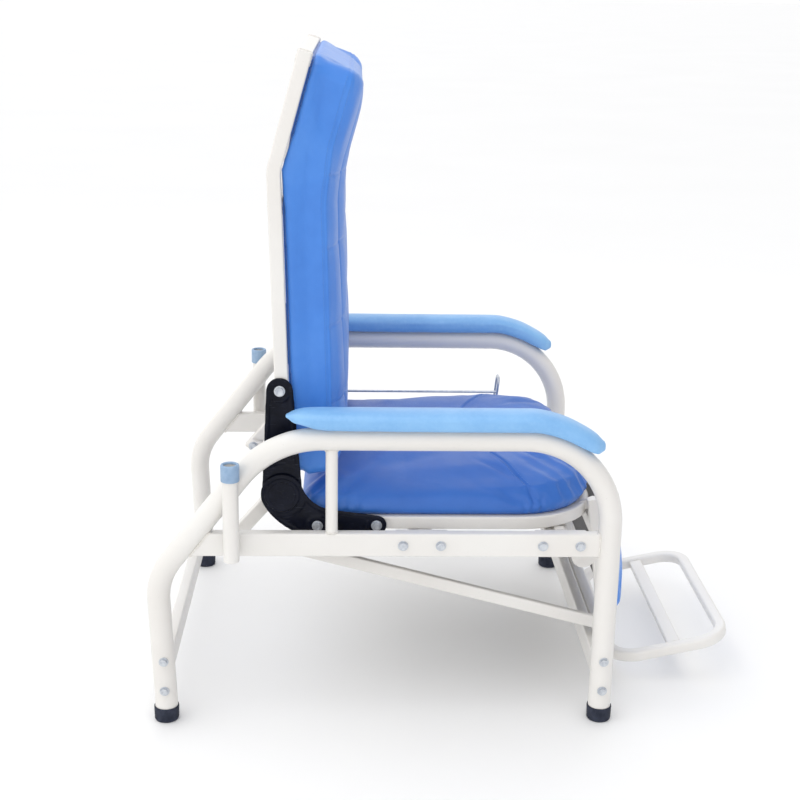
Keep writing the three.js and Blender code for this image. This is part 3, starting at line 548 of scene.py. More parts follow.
def turned(profile, centre, axis, steps=48):
    """A closed profile of (radius, height) turned about an axis through centre."""
    axis = Vector(axis).normalized()
    u = axis.orthogonal().normalized()
    v = axis.cross(u)
    rings = [[centre + axis * h * MM + spoke(u, v, a) * r * MM for r, h in profile] for a in angles(steps)]
    return skin(rings, closed=True)


def across(place, reach, count=9):
    """A shell through the rings that place(y) gives between -reach and reach."""
    return skin([place(y) for y in np.linspace(-reach, reach, count)])


def plate(x, z, side, low, high, outline):
    """A flat outline about (x, z) that is as thick as low to high across the chair."""
    return skin([[at(x + a, side * y, z + b) for a, b in outline] for y in (low, high)])


def bead(path, radius, seed):
    """A weld bead: a lumpy closed ring along a path of points in the row frame."""
    middle = sum(path, Vector()) / len(path)
    rings = []
    for i, here in enumerate(path):
        tangent = (path[(i + 1) % len(path)] - path[i - 1]).normalized()
        out = (here - middle).normalized()
        up = tangent.cross(out).normalized()
        lump = 1 + 0.22 * math.sin(i * 2.4 + seed) + 0.25 * noise.noise(here * 300 + Vector((seed, 0, 0)))
        rings.append([here + spoke(out, up, a) * radius * lump * MM for a in angles(8)])
    return skin(rings, closed=True)


def split_ring(points, longest):
    """A closed path with its long runs split."""
    ring = []
    for a, b in zip(points, points[1:] + points[:1]):
        parts = max(1, round((b - a).length / longest))
        ring += [a.lerp(b, k / parts) for k in range(parts)]
    return ring


def loop_path(centre, u, v, half_u, half_v, corner, steps=6):
    """A rounded rectangle of points about centre, spanned by the directions u and v."""
    corner = min(corner, half_u, half_v)
    outline = rounded_box(2 * half_u, 2 * half_v, corner, steps)
    return split_ring([centre + (u * a + v * b) * MM for a, b in outline], 2.0 * MM)


def make(name, shells, look, body, slot=None, stands_for=(), sharp=34.0):
    """One object from a list of shells, shaded smooth up to the sharp angle."""
    mesh = bpy.data.meshes.new(name)
    points, faces = [], []
    for shell_points, shell_faces in shells:
        faces += [tuple(len(points) + i for i in face) for face in shell_faces]
        points += shell_points
    mesh.from_pydata(points, [], faces)
    work = bmesh.new()
    work.from_mesh(mesh)
    bmesh.ops.remove_doubles(work, verts=work.verts, dist=1e-6)
    bmesh.ops.recalc_face_normals(work, faces=work.faces)
    work.to_mesh(mesh)
    work.free()
    obj = bpy.data.objects.new(name, mesh)
    bpy.context.scene.collection.objects.link(obj)
    finish(obj, look, body, slot, stands_for, sharp)
    return obj


def finish(obj, look, body, slot=None, stands_for=(), sharp=34.0):
    """Material, shading, body and the CAD nodes that the object stands for."""
    obj.data.materials.clear()
    obj.data.materials.append(LOOKS[look])
    obj.data.shade_smooth()
    if sharp:
        obj.data.set_sharp_from_angle(angle=math.radians(sharp))
    slot = slot or {"weld": "paint", "thread": "vinyl"}.get(look, look)
    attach(obj, body)
    if stands_for:
        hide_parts(*stands_for)


def soft_edges(obj, width):
    edge = obj.modifiers.new("soft_edges", "BEVEL")
    edge.width, edge.segments, edge.limit_method = width * MM, 2, "ANGLE"


def hexagon_bolt(centre, outward, corner_r, height, washer_r, washer_t=1.5):
    """Shells of a hexagon head on its washer, seated at centre and facing outward."""
    c = 0.35
    washer = [(0.0, 0.0), (washer_r, 0.0), (washer_r, washer_t - c), (washer_r - c, washer_t),
              (0.0, washer_t)]
    outward = Vector(outward).normalized()
    u = outward.orthogonal().normalized()
    v = outward.cross(u)
    levels = [(1.0, washer_t, 6), (1.0, height - 1.1, 6), (0.86, height, 0), (0.5, height + 0.12, 0),
              (0.42, height - 0.35, 0), (0.05, height - 0.3, 0)]
    rings = []
    for share, h, hexagonal in levels:
        ring = []
        for a in angles(36):
            radius = corner_r * share
            if hexagonal:
                radius *= math.cos(math.pi / 6) / math.cos((a % (math.pi / 3)) - math.pi / 6)
            ring.append(centre + outward * h * MM + spoke(u, v, a) * radius * MM)
        rings.append(ring)
    return [turned(washer, centre, outward, 40), skin(rings)]


# ------------------------------------------------------------------ base
def side_frame(label, side):
    path = subdivided(filleted(SIDE_CORNERS, SIDE_RADII, 3.0), 40)
    shell = sweep(circle(TUBE_R, 44), path, side_view(side * SIDE_Y))
    make(f"frame_tube_{label}", [shell], "paint", "base", stands_for=(f"side_frame_{label}",))


def rubber_feet(label, side):
    outer = [(0, 0), (17.5, 0), (19.2, 0.6), (20.2, 2.2), (20.6, 5), (20.0, 6.2), (20.0, 7.2),
             (20.7, 8.2), (20.9, 20), (21.0, 23.4), (20.6, 25.2), (20.0, 25.9), (19.3, 25.6),
             (19.3, 8.2), (0, 8.2)]
    for where, x in zip(("rear", "front"), FOOT_X):
        shell = turned(outer, at(x, side * SIDE_Y, 0), Z, 56)
        make(f"rubber_tip_{where}_{label}", [shell], "rubber", "base",
             stands_for=(f"foot_{where}_{label}",), sharp=50)


def side_rail(label, side):
    """Drawn box tube whose ends are cut to the round tubes they are welded to."""
    middle_y, middle_z = sum(RAIL_Y) / 2, sum(RAIL_Z) / 2
    section = rounded_box(RAIL_Y[1] - RAIL_Y[0], RAIL_Z[1] - RAIL_Z[0], 3.2)
    slope = (RAIL_TOP_X - RAIL_LOW_X) / (RAIL_Z[1] - RAIL_Z[0])
    stretch = math.hypot(1, slope)

    def rear_x(v, w):
        cope = (TUBE_R - math.sqrt(TUBE_R ** 2 - v * v)) * stretch
        return RAIL_LOW_X + slope * (w + middle_z - RAIL_Z[0]) - cope + 0.3

    def front_x(v):
        return RAIL_FRONT_X + TUBE_R - math.sqrt(TUBE_R ** 2 - v * v) - 0.1

    rings = []
    for k in range(13):
        t = k / 12
        rings.append([at(rear_x(v, w) * (1 - t) + front_x(v) * t, side * middle_y + v, middle_z + w)
                      for v, w in section])
    make(f"rail_{label}", [skin(rings)], "paint", "base", stands_for=(f"side_rail_{label}",))

    def seam(end_x):
        return [at(end_x(v, w), side * middle_y + v * 1.02, middle_z + w * 1.01)
                for v, w in split_ring([Vector(point) for point in section], 2.0)]

    front, rear = seam(lambda v, w: front_x(v) - 0.6), seam(lambda v, w: rear_x(v, w) + 0.6)
    make(f"rail_welds_{label}", [bead(front, 1.5, 3), bead(rear, 1.7, 8)], "weld", "base")


def outer_bolts(name, side, y, spots, *sizes):
    """Bolt heads at the (x, z) spots on the outer face of a side frame."""
    shells = []
    for x, z in spots:
        shells += hexagon_bolt(at(x, side * y, z), (0, side, 0), *sizes)
    make(name, shells, "zinc", "base", sharp=28)


def side_bolts(label, side):
    on_rail = [(x, RAIL_MIDDLE_Z) for x in RAIL_BOLT_X]
    outer_bolts(f"rail_bolts_{label}", side, RAIL_Y[1] + 0.05, on_rail, 7.2, 5.6, 8.6)
    on_legs = [(x, z) for x in FOOT_X for z in LEG_BOLT_Z]
    outer_bolts(f"leg_bolts_{label}", side, SIDE_Y + TUBE_R - 0.6, on_legs, 6.6, 6.0, 8.2, 1.8)


def arm_post(label, side):
    """The post is cut to the arm tube above it and welded at both ends."""
    foot_z = RAIL_Z[1] + 0.2
    rings = [[], []]
    for u, v in circle(POST_R, 40):
        saddle = ARM_Z - math.sqrt(TUBE_R ** 2 - v * v) + 0.2
        rings[0].append(at(POST_X + u, side * SIDE_Y + v, foot_z))
        rings[1].append(at(POST_X + u, side * SIDE_Y + v, saddle))
    make(f"post_{label}", [skin(rings)], "paint", "base", stands_for=(f"arm_post_{label}",))
    low = [p + Z * (0.6 * MM) for p in rings[0]]
    top = [p - Z * (0.8 * MM) for p in rings[1]]
    make(f"post_welds_{label}", [bead(low, 1.5, 1), bead(top, 1.6, 5)], "weld", "base")


def pole_socket(label, side):
    """An open tube on a lug welded to the rail, with a plastic ring over its mouth."""
    low, top = SOCKET_Z
    centre = at(SOCKET_X, side * SOCKET_Y, 0)
    tube = [(0, low), (SOCKET_R - 0.6, low), (SOCKET_R, low + 0.6), (SOCKET_R, top), (SOCKET_BORE, top),
            (SOCKET_BORE, low + 4), (0, low + 4)]
    lug = plate(SOCKET_X, RAIL_MIDDLE_Z, side, RAIL_Y[1] + 0.1, SOCKET_Y - SOCKET_BORE - 1,
                rounded_box(12, 28, 2.5))
    make(f"pole_tube_{label}", [turned(tube, centre, Z, 44), lug], "paint", "base",
         stands_for=(f"pole_socket_{label}",))
    welds = []
    for y, seed in ((RAIL_Y[1] + 0.8, 2), (SOCKET_Y - SOCKET_R - 0.2, 6)):
        path = loop_path(at(SOCKET_X, side * y, RAIL_MIDDLE_Z), X, Z, 6.4, 14.4, 2.6)
        welds.append(bead(path, 1.4, seed))
    make(f"pole_welds_{label}", welds, "weld", "base")
    cap = [(13.2, 440.0), (14.6, 440.0), (15.1, 440.7), (15.2, 462.5), (15.1, 465.5), (14.4, 467.3),
           (13.1, 468.0), (11.3, 467.8), (10.2, 466.9), (10.05, 464.4), (13.2, 464.4)]
    make(f"pole_ring_{label}", [turned(cap, centre, Z, 56)], "cap", "base",
         stands_for=(f"pole_socket_cap_{label}",), sharp=50)


def bolted_beam(name, node, x, z, reach, size, plate_z, plate_size, seed, spots, nut, more_welds=()):
    """A box tube across the chair, with its welded end plates and the nuts at the (x, z) spots."""
    inner = reach - END_PLATE_T
    section = rounded_box(*size, 3.0)
    shells = [across(lambda y: [at(x + a, y, z + b) for a, b in section], reach - 1)]
    welds, nuts = list(more_welds), []
    for _, side in SIDES:
        shells.append(plate(x, plate_z, side, inner, reach, rounded_box(*plate_size)))
        weld = loop_path(at(x, side * (inner - 0.5), z), X, Z, size[0] / 2 + 0.2, size[1] / 2 + 0.2, 3)
        welds.append(bead(weld, 1.5, seed + side))
        for bolt_x, bolt_z in spots:
            nuts += hexagon_bolt(at(bolt_x, side * inner, bolt_z), (0, -side, 0), *nut)
    make(name, shells, "paint", "base", stands_for=(node,))
    make(f"{name}_welds", welds, "weld", "base")
    make(f"{name}_nuts", nuts, "zinc", "base", sharp=28)


def cross_tube(name, x, node):
    """A lower cross tube between the legs."""
    spots = [(x, z) for z in LEG_BOLT_Z]
    bolted_beam(name, node, x, sum(CROSS_Z) / 2, SIDE_Y - TUBE_R - 0.3, (20, CROSS_Z[1] - CROSS_Z[0]),
                CROSS_PLATE_Z, CROSS_PLATE, 4, spots, (6.2, 5.0, 0.1, 0.05))


def seat_beam(name, x, node):
    """A seat beam between the rails, with the two stands that carry the seat frame."""
    feet = []
    for label, side in SIDES:
        seat_stand(x, label, side, node.replace("beam", "stand"))
        foot = loop_path(at(x + STAND_AHEAD, side * SEAT_Y, BEAM_Z[1] + 0.6), X, Y, 8.4, 8.4, 2)
        feet.append(bead(foot, 1.3, 9 + side))
    spots = [(x + shift, RAIL_MIDDLE_Z) for shift in (-BEAM_BOLT_X, BEAM_BOLT_X)]
    bolted_beam(name, node, x, sum(BEAM_Z) / 2, RAIL_Y[0] - 0.3, (40, BEAM_Z[1] - BEAM_Z[0]),
                RAIL_MIDDLE_Z, BEAM_PLATE, 7, spots, (6.4, 5.2, 8.0, 1.2), feet)


def seat_stand(x, label, side, node):
    outline = rounded_box(STAND, STAND, 2.0)
    levels = (BEAM_Z[1] + 0.3, SEAT_Z - BOX / 2 - 0.3)
    shell = skin([[at(x + STAND_AHEAD + a, side * SEAT_Y + b, h) for a, b in outline] for h in levels])
    make(f"{node}_post_{label}", [shell], "paint", "base", stands_for=(f"{node}_{label}",))


def seat_loop():
    rear, front = SEAT_X
    corners = [(rear, 0), (rear, -SEAT_Y), (front, -SEAT_Y), (front, SEAT_Y), (rear, SEAT_Y), (rear, 0)]
    return filleted(corners, (14, SEAT_CORNER, SEAT_CORNER, 14), 4.0)[:-1]


def seat_frame():
    """The bent seat frame and the two lugs that carry the leg rest."""
    shells = [sweep(rounded_box(BOX, BOX, 3.2), seat_loop(), plan_view(SEAT_Z), closed=True)]
    inner = LEG_ARM_Y[0] - 0.3
    px, pz = LIFT_PIVOT
    nose = [(px + LIFT_LUG_R * math.cos(a), pz + LIFT_LUG_R * math.sin(a))
            for a in np.linspace(-math.pi / 2, math.pi / 2, 14)]
    tail = px - LIFT_LUG_REACH
    outline = [(tail, SEAT_Z - 8), *nose, (tail, SEAT_Z + 10.5)]
    pin = [(0, 0), (LIFT_PIN_R, 0), (LIFT_PIN_R, 15), (LIFT_PIN_R - 0.8, 16), (0, 16)]
    for _, side in SIDES:
        shells.append(skin([[at(a, side * y, b) for a, b in outline] for y in (inner - LIFT_LUG_T, inner)]))
        shells.append(turned(pin, at(px, side * (inner - 1), pz), (0, side, 0), 32))
    make("seat_loop_tube", shells, "paint", "base", stands_for=("seat_frame",))


def wire(path3, radius=2.5, sides=14):
    """A round wire through points in the row frame."""
    rings = []
    up = None
    for i, here in enumerate(path3):
        tangent = (path3[min(i + 1, len(path3) - 1)] - path3[max(i - 1, 0)]).normalized()
        up = tangent.orthogonal() if up is None else up - tangent * up.dot(tangent)
        up.normalize()
        side = tangent.cross(up)
        rings.append([here + spoke(up, side, a) * radius * MM for a in angles(sides)])
    return skin(rings)


def wire_rack():
    """Two bent wire hoops beside the left rail, joined by a long wire."""
    shells, welds = [], []
    inner, outer = RACK_Y
    corners = [(outer, RAIL_Z[1] + 0.2), (outer, RACK_TOP), (inner, RACK_TOP), (inner, RACK_END_Z)]
    for x in RACK_X:
        tilt = 0.0 if x < 0 else RACK_TILT
        path = subdivided(filleted(corners, (12, 12), 9.0), 12)
        shells.append(wire([at(x + tilt * (p.y - RAIL_Z[1]), p.x, p.y) for p in path]))
        ring = [at(x + 3 * math.cos(a), outer + 3 * math.sin(a), RAIL_Z[1] + 0.8)
                for a in np.linspace(0, 2 * math.pi, 20, endpoint=False)]
        welds.append(bead(ring, 1.0, x))
    run = np.linspace(RACK_X[0], RACK_X[1] + 5, 12)
    shells.append(wire([at(x, inner + 1, RACK_WIRE_Z) for x in run]))
    make("rack_wires", shells, "zinc", "base", stands_for=("wire_rack",), sharp=60)
    make("rack_welds", welds, "weld", "base")


# ------------------------------------------------------------------ hinges
def polygon_distance(points, outline):
    """How far each (x, z) point lies from the outline, in millimetres."""
    nearest = np.full(len(points), 1e9)
    for a, b in zip(outline, np.roll(outline, -1, axis=0)):
        ab = b - a
        t = np.clip(((points - a) @ ab) / max(ab @ ab, 1e-9), 0, 1)
        nearest = np.minimum(nearest, np.linalg.norm(points - (a + t[:, None] * ab), axis=1))
    return nearest


def arc(centre, radius, start, end, steps=20):
    turns = [math.radians(a) for a in np.linspace(start, end, steps)]
    return [(centre[0] + radius * math.cos(a), centre[1] + radius * math.sin(a)) for a in turns]


def quadratic(a, b, c, steps=12):
    """The inner points of a curve from a to c that leaves both towards b."""
    return [tuple((1 - t) ** 2 * p + 2 * t * (1 - t) * q + t * t * r for p, q, r in zip(a, b, c))
            for t in np.linspace(0, 1, steps)[1:-1]]


def lower_hinge_outline():
    turn = arc(HUB, HUB_R, 25, 212)
    toe, step = (-142, 322), (-84, 365)
    heel = quadratic(turn[-1], (-184, 340), toe)
    nose = arc(HINGE_BOLTS_LOW[1], 17, -90, 83)
    return turn + heel + [toe] + nose + [step] + quadratic(step, (-126, 369), (-139.8, 407))


def upper_hinge_outline():
    return arc(HUB, HUB_R - 2, 180, 360) + arc(HINGE_BOLT_TOP, 22, 0, 180)


def remeshed(source, name, voxel):
    """A copy of an object's mesh, remeshed evenly, as a new object."""
    obj = bpy.data.objects.new(name, source.data.copy())
    bpy.context.scene.collection.objects.link(obj)
    obj.data.materials.clear()
    grid = obj.modifiers.new("grid", "REMESH")
    grid.mode, grid.voxel_size, grid.use_smooth_shade = "VOXEL", voxel * MM, True
    bake_modifiers(obj)
    return obj


def bake_modifiers(obj):
    graph = bpy.context.evaluated_depsgraph_get()
    mesh = bpy.data.meshes.new_from_object(obj.evaluated_get(graph))
    obj.modifiers.clear()
    obj.data = mesh


def relaxed(obj, rounds):
    """Smooths away the stair steps that a voxel remesh leaves."""
    work = bmesh.new()
    work.from_mesh(obj.data)
    for _ in range(rounds):
        bmesh.ops.smooth_vert(work, verts=work.verts, factor=0.5,
                              use_axis_x=True, use_axis_y=True, use_axis_z=True)
    work.to_mesh(obj.data)
    work.free()


def pressed_plate(node, name, body, side, outline, keep_out, floor_y):
    """A hinge plate with a rolled rim: the field inside is pressed back, but not in keep_out circles."""
    obj = remeshed(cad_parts[node], name, 1.6)
    relaxed(obj, 3)
    mesh = obj.data
    flat = np.array([(v.co.x / MM - SHIFT_X, v.co.z / MM) for v in mesh.vertices])
    inside = polygon_distance(flat, np.array(outline))
    for centre, radius in keep_out:
        inside = np.minimum(inside, np.linalg.norm(flat - np.array(centre), axis=1) - radius)
    outward = [v.normal.y * side for v in mesh.vertices]
    for v, depth, facing in zip(mesh.vertices, inside, outward):
        if facing > 0.2 and abs(v.co.y) / MM > floor_y:
            v.co.y -= side * 1.9 * MM * smooth(depth, 5.0, 9.5) * facing
    finish(obj, "black_steel", body, "black_steel", (node,), sharp=0)


def hinge(label, side):
    keep = [(HUB, 33.0)] + [(b, 10.5) for b in HINGE_BOLTS_LOW]
    pressed_plate(f"hinge_lower_{label}", f"hinge_arm_low_{label}", "base", side,
                  lower_hinge_outline(), keep, 292)
    keep = [(HUB, 43.0), (HINGE_BOLT_TOP, 12.0)]
    pressed_plate(f"hinge_upper_{label}", f"hinge_arm_high_{label}", "backrest", side,
                  upper_hinge_outline(), keep, 286)
    for where, centre, body, y in (("rear", HINGE_BOLTS_LOW[0], "base", HINGE_LOWER_Y[1]),
                                   ("front", HINGE_BOLTS_LOW[1], "base", HINGE_LOWER_Y[1]),
                                   ("top", HINGE_BOLT_TOP, "backrest", HINGE_UPPER_Y[1])):
        shells = hexagon_bolt(at(centre[0], side * (y + 0.1), centre[1]), (0, side, 0), 7.6, 5.4, 9.0)
        make(f"hinge_screw_{where}_{label}", shells, "zinc", body,
             stands_for=(f"hinge_bolt_{where}_{label}",), sharp=28)


# ------------------------------------------------------------------ backrest frame
def upright_path():
    low = BACK_FOOT + lean_up(BACK_LEAN) * -14
    bend = BACK_FOOT + lean_up(BACK_LEAN) * BACK_BEND_S
    high = bend + lean_up(HEAD_LEAN) * (BACK_TOP_S - BACK_BEND_S)
    return subdivided(filleted([low, bend, high], (60,), 2.0), 60)


def back_upright(label, side):
    shell = sweep(rounded_box(BOX, BOX, 3.0), upright_path(), side_view(side * BACK_Y))
    make(f"upright_{label}", [shell], "paint", "backrest", stands_for=(f"back_upright_{label}",))


def back_bar(name, s, node):
    """A straight tube welded between the uprights, s up the backrest."""
    head = s > BACK_BEND_S
    angle = HEAD_LEAN if head else BACK_LEAN
    base = BACK_FOOT + lean_up(BACK_LEAN) * (BACK_BEND_S if head else s)
    centre = base + lean_up(angle) * (s - BACK_BEND_S if head else 0)
    up, ahead = lean_up(angle), lean_ahead(angle)
    reach = BACK_Y - BOX / 2 - 0.2
    outline = [centre + ahead * a + up * b for a, b in rounded_box(BOX, BOX, 3.0)]
    tube = across(lambda y: [at(p.x, y, p.y) for p in outline], reach)
    make(name, [tube], "paint", "backrest", stands_for=(node,))
    u, v = Vector((ahead.x, 0, ahead.y)), Vector((up.x, 0, up.y))
    welds = []
    for _, side in SIDES:
        path = loop_path(at(centre.x, side * (reach - 0.6), centre.y), u, v, 11.2, 11.2, 3)
        welds.append(bead(path, 1.4, s + side))
    make(f"{name}_welds", welds, "weld", "backrest")


# ------------------------------------------------------------------ recline linkage
def bar_between(a, b, half, y0, y1, before, after, corner):
    """A box tube between two points in side view, run on past each end."""
    a, b = Vector(a), Vector(b)
    along = (b - a).normalized()
    side = Vector((-along.y, along.x))
    start, length = a - along * before, (b - a).length + before + after
    section = rounded_box(2 * half, abs(y1 - y0), corner)
    mid = (y0 + y1) / 2
    rings = []
    for t in np.linspace(0, length, 9):
        p = start + along * t
        rings.append([at(p.x + side.x * u, mid + v, p.y + side.y * u) for u, v in section])
    return rings


def hollow_end(rings, wall):
    """Turns the last ring's flat end into the mouth of a tube with that wall."""
    last, depth = rings[-1], (rings[-1][0] - rings[-2][0]).normalized()
    middle = sum(last, Vector()) / len(last)
    size = max((p - middle).length for p in last)
    share = 1 - wall * MM / size * 1.3
    inner = [middle + (p - middle) * share for p in last]
    sunk = [p - depth * 26 * MM for p in inner]
    return rings + [inner, sunk]


def recline_lever(label, side):
    y0, y1 = side * LEVER_Y[0], side * LEVER_Y[1]
    rings = bar_between(LEVER_TOP, LEVER_PIVOT, 11, y0, y1, 0, 14, 2.6)
    make(f"lever_{label}", [skin(hollow_end(rings, 1.6))], "paint", "backrest",
         stands_for=(f"recline_lever_{label}",), sharp=40)
    x, z = LEVER_PIVOT
    shells = hexagon_bolt(at(x, side * (LEVER_Y[1] + 0.1), z), (0, side, 0), 8.2, 6.2, 9.5)
    shells += hexagon_bolt(at(x, side * (ROD_Y[0] - 0.1), z), (0, -side, 0), 8.0, 6.5, 9.2)
    reach = LEVER_Y[1] - ROD_Y[0]
    shank = [(0, 0), (5, 0), (5, reach), (0, reach)]
    shells.append(turned(shank, at(x, side * ROD_Y[0], z), (0, side, 0), 24))
    make(f"lever_pin_{label}", shells, "zinc", "backrest", stands_for=(f"lever_bolt_{label}",), sharp=28)


def link_rod(label, side):
    """A flattened tube: round-nosed ends and a bolt through the front one."""
    a, b = Vector(LEVER_PIVOT), Vector(ROD_FRONT)
    along = (b - a).normalized()
    across = Vector((-along.y, along.x))
    length = (b - a).length
    mid = side * (ROD_Y[0] + ROD_Y[1]) / 2
    nose = (0, 2, 5, 8, 10, 10.9)
    rings = []
    for t in [*(-step for step in nose[::-1]), *np.linspace(8, length - 8, 9),
              *(length + step for step in nose)]:
        over = max(-t, t - length, 0.0)
        half = math.sqrt(max(11 ** 2 - over ** 2, 1.0))
        section = rounded_box(2 * half, 12, min(2.6, half * 0.9))
        p = a + along * t
        rings.append([at(p.x + across.x * u, mid + v, p.y + across.y * u) for u, v in section])
    body = f"rod_{label}"
    make(f"push_rod_{label}", [skin(rings)], "paint", body, stands_for=(f"link_rod_{label}",), sharp=50)
    shells = hexagon_bolt(at(b.x, side * (ROD_Y[1] + 0.05), b.y), (0, side, 0), 7.4, 4.9, 8.8, 1.4)
    shells += hexagon_bolt(at(b.x, side * (ROD_Y[0] - 0.05), b.y), (0, -side, 0), 7.4, 4.6, 8.8, 1.4)
    make(f"rod_end_bolt_{label}", shells, "zinc", body, sharp=28)


# ------------------------------------------------------------------ leg rest and footrest
def leaning(angle):
    """The directions along and across something tipped up by angle, in side view."""
    return Vector((math.cos(angle), 0, math.sin(angle))), Vector((-math.sin(angle), 0, math.cos(angle)))


def disc_plate(centre, radius, y0, y1, steps=40):
    thick, edge = abs(y1 - y0), 0.5
    profile = [(0, 0), (radius - edge, 0), (radius, edge), (radius, thick - edge), (radius - edge, thick),
               (0, thick)]
    toward = 1 if y1 > y0 else -1
    return turned(profile, at(centre[0], y0, centre[1]), (0, toward, 0), steps)


def legrest_frame():
    """Two arms with their round lugs, the strip under the pad, the cross tube and the fold ears."""
    foot = side_layout(leg_point(LEG_ARM_LENGTH, 0, 0))
    cross = side_layout(leg_point(LEG_CROSS_T, 0, 0))
    u, v = leaning(LEG_LEAN)
    ear_low, ear_high = FOLD_EAR_Y
    bars = ((LEG_CROSS_T, 0, 20, 20, 10.3, 10.3), (LEG_STRIP_T, 4, 12, 30, 6.2, 15.3))
    shells, welds = [], []
    for _, side in SIDES:
        y0, y1 = side * LEG_ARM_Y[0], side * LEG_ARM_Y[1]
        rings = bar_between(LIFT_PIVOT, foot, LEG_ARM_HALF, y0, y1, 9.5, 9.5, 2.8)
        shells.append(skin(rings))
        for lug, radius in ((ROD_FRONT, ROD_LUG_R), (STOP_LUG, STOP_LUG_R)):
            shells.append(disc_plate(lug, radius, y1 - side * LUG_T, y1 - side * 0.2))
        shells.append(disc_plate(FOLD_PIVOT, FOLD_R, side * ear_low, side * ear_high, 28))
        rings = bar_between(cross, FOLD_PIVOT, FOLD_HALF, side * ear_low, side * ear_high, 0, 0, 1.2)
        shells.append(skin(rings))
        pin = [(0, 0), (4, 0), (4, 11), (3.2, 12), (0, 12)]
        shells.append(turned(pin, at(FOLD_PIVOT[0], side * ear_low, FOLD_PIVOT[1]), (0, side, 0), 24))
        for t, n, _, _, half_u, half_v in bars:
            path = loop_path(leg_point(t, side * (LEG_ARM_Y[0] - 0.8), n), u, v, half_u, half_v, 2)
            welds.append(bead(path, 1.3, t + side))
        path = loop_path(leg_point(LEG_CROSS_T + 11, side * sum(FOLD_EAR_Y) / 2, 2), u, Y, 7.5, 3.4, 1)
        welds.append(bead(path, 1.2, side + 2))
    reach = LEG_ARM_Y[0] + 0.5
    for t, n, thick, size, _, _ in bars:
        section = rounded_box(thick, size, 2.6)
        shells.append(across(lambda y: [leg_point(t + b, y, n + a) for a, b in section], reach))
    make("legrest_tubes", shells, "paint", "legrest", stands_for=("legrest_frame",))
    make("legrest_welds", welds, "weld", "legrest")


def footrest():
    """The folding foot loop, its bar and its hinge tabs."""
    length, half = FOOT_LOOP
    corners = [(0, 0), (0, -half), (length, -half), (length, half), (0, half), (0, 0)]
    loop = filleted(corners, (FOOT_CORNER,) * 4, 4.0)[:-1]
    shells = [sweep(rounded_box(FOOT_TUBE, FOOT_TUBE, 5.4, 6), loop, foot_point, closed=True)]
    welds, pins = [], []
    for _, side in SIDES:
        low, high = (side * y for y in FOLD_TAB_Y)
        shells.append(skin(bar_between(FOOT_BAR, FOLD_PIVOT, FOLD_HALF, low, high, 0, 0, 1.0)))
        shells.append(disc_plate(FOLD_PIVOT, FOLD_R, low, high, 28))
        washer = [(0, 0), (5.6, 0), (5.6, 0.6), (5.2, 1.0), (0, 1.0)]
        place = at(FOLD_PIVOT[0], side * (FOLD_TAB_Y[1] + 0.1), FOLD_PIVOT[1])
        pins.append(turned(washer, place, (0, side, 0), 28))
    make("foot_loop", shells, "paint", "footrest", stands_for=("footrest_frame",))
    reach = half - FOOT_TUBE / 2 + 0.4
    section = rounded_box(2 * FOOT_BAR_HALF, FOOT_BAR_T, 3.0)
    bar = across(lambda y: [foot_point(FOOT_BAR_S + a, y, b) for a, b in section], reach)
    make("foot_bar", [bar], "paint", "footrest", stands_for=("footrest_bar",))
    u, v = leaning(FOOT_LEAN)
    for _, side in SIDES:
        centre = foot_point(FOOT_BAR_S, side * (reach - 0.8), 0)
        weld = loop_path(centre, u, v, FOOT_BAR_HALF + 0.2, FOOT_BAR_T / 2 + 0.2, 3)
        welds.append(bead(weld, 1.3, 5 + side))
    make("foot_welds", welds, "weld", "footrest")
    make("fold_washers", pins, "zinc", "footrest", sharp=30)


# ------------------------------------------------------------------ soft goods
def read_points(mesh, what):
    values = np.empty(len(mesh.vertices) * 3)
    mesh.vertices.foreach_get(what, values)
    return values.reshape(-1, 3)


def place_points(mesh, points):
    mesh.vertices.foreach_set("co", points.ravel())
    mesh.update()


def puffed(node, name, voxel, inset, cap, held):
    """A cushion: the CAD solid, a little smaller, swelled by pressure as cloth and held to a cap.

    cap(point) is the most that a point may move, in millimetres. held(point) runs from 1 where the
    cover is fixed to its board to 0 where it is free."""
    obj = remeshed(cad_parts[node], name, voxel)
    relaxed(obj, 2)
    rest, normals = read_points(obj.data, "co"), read_points(obj.data, "normal")
    fixed = np.array([held(Vector(p)) for p in rest])
    limits = np.array([cap(Vector(p)) for p in rest]) * MM * (1 - fixed)
    begin = rest - normals * (inset * MM * (1 - fixed))[:, None]
    place_points(obj.data, begin)
    moved = swelled(obj, fixed)
    step = moved - begin
    size = np.linalg.norm(step, axis=1)
    step *= (limits * np.tanh(size / np.maximum(limits, 1e-6)) / np.maximum(size, 1e-9))[:, None]
    place_points(obj.data, begin + step)
    finer = obj.modifiers.new("finer", "SUBSURF")
    finer.levels = finer.render_levels = 1
    bake_modifiers(obj)
    return obj


def swelled(obj, fixed):
    """Runs Blender's cloth with inside pressure and returns the points it reaches."""
    scene = bpy.context.scene
    group = obj.vertex_groups.new(name="held")
    for index, weight in enumerate(fixed):
        if weight > 0:
            group.add([index], float(weight), "REPLACE")
    cloth = obj.modifiers.new("cloth", "CLOTH")
    settings = cloth.settings
    settings.quality = 5
    settings.mass = 0.3
    settings.tension_stiffness = settings.compression_stiffness = 15
    settings.shear_stiffness = 5
    settings.bending_stiffness = 0.8
    settings.use_pressure = True
    settings.uniform_pressure_force = 4
    settings.effector_weights.gravity = 0
    settings.vertex_group_mass = group.name
    cloth.point_cache.frame_start, cloth.point_cache.frame_end = 1, 20
    for number in range(1, 21):
        scene.frame_set(number)
    graph = bpy.context.evaluated_depsgraph_get()
    points = read_points(obj.evaluated_get(graph).to_mesh(), "co")
    obj.evaluated_get(graph).to_mesh_clear()
    obj.modifiers.remove(cloth)
    obj.vertex_groups.remove(group)
    scene.frame_set(1)
    return points


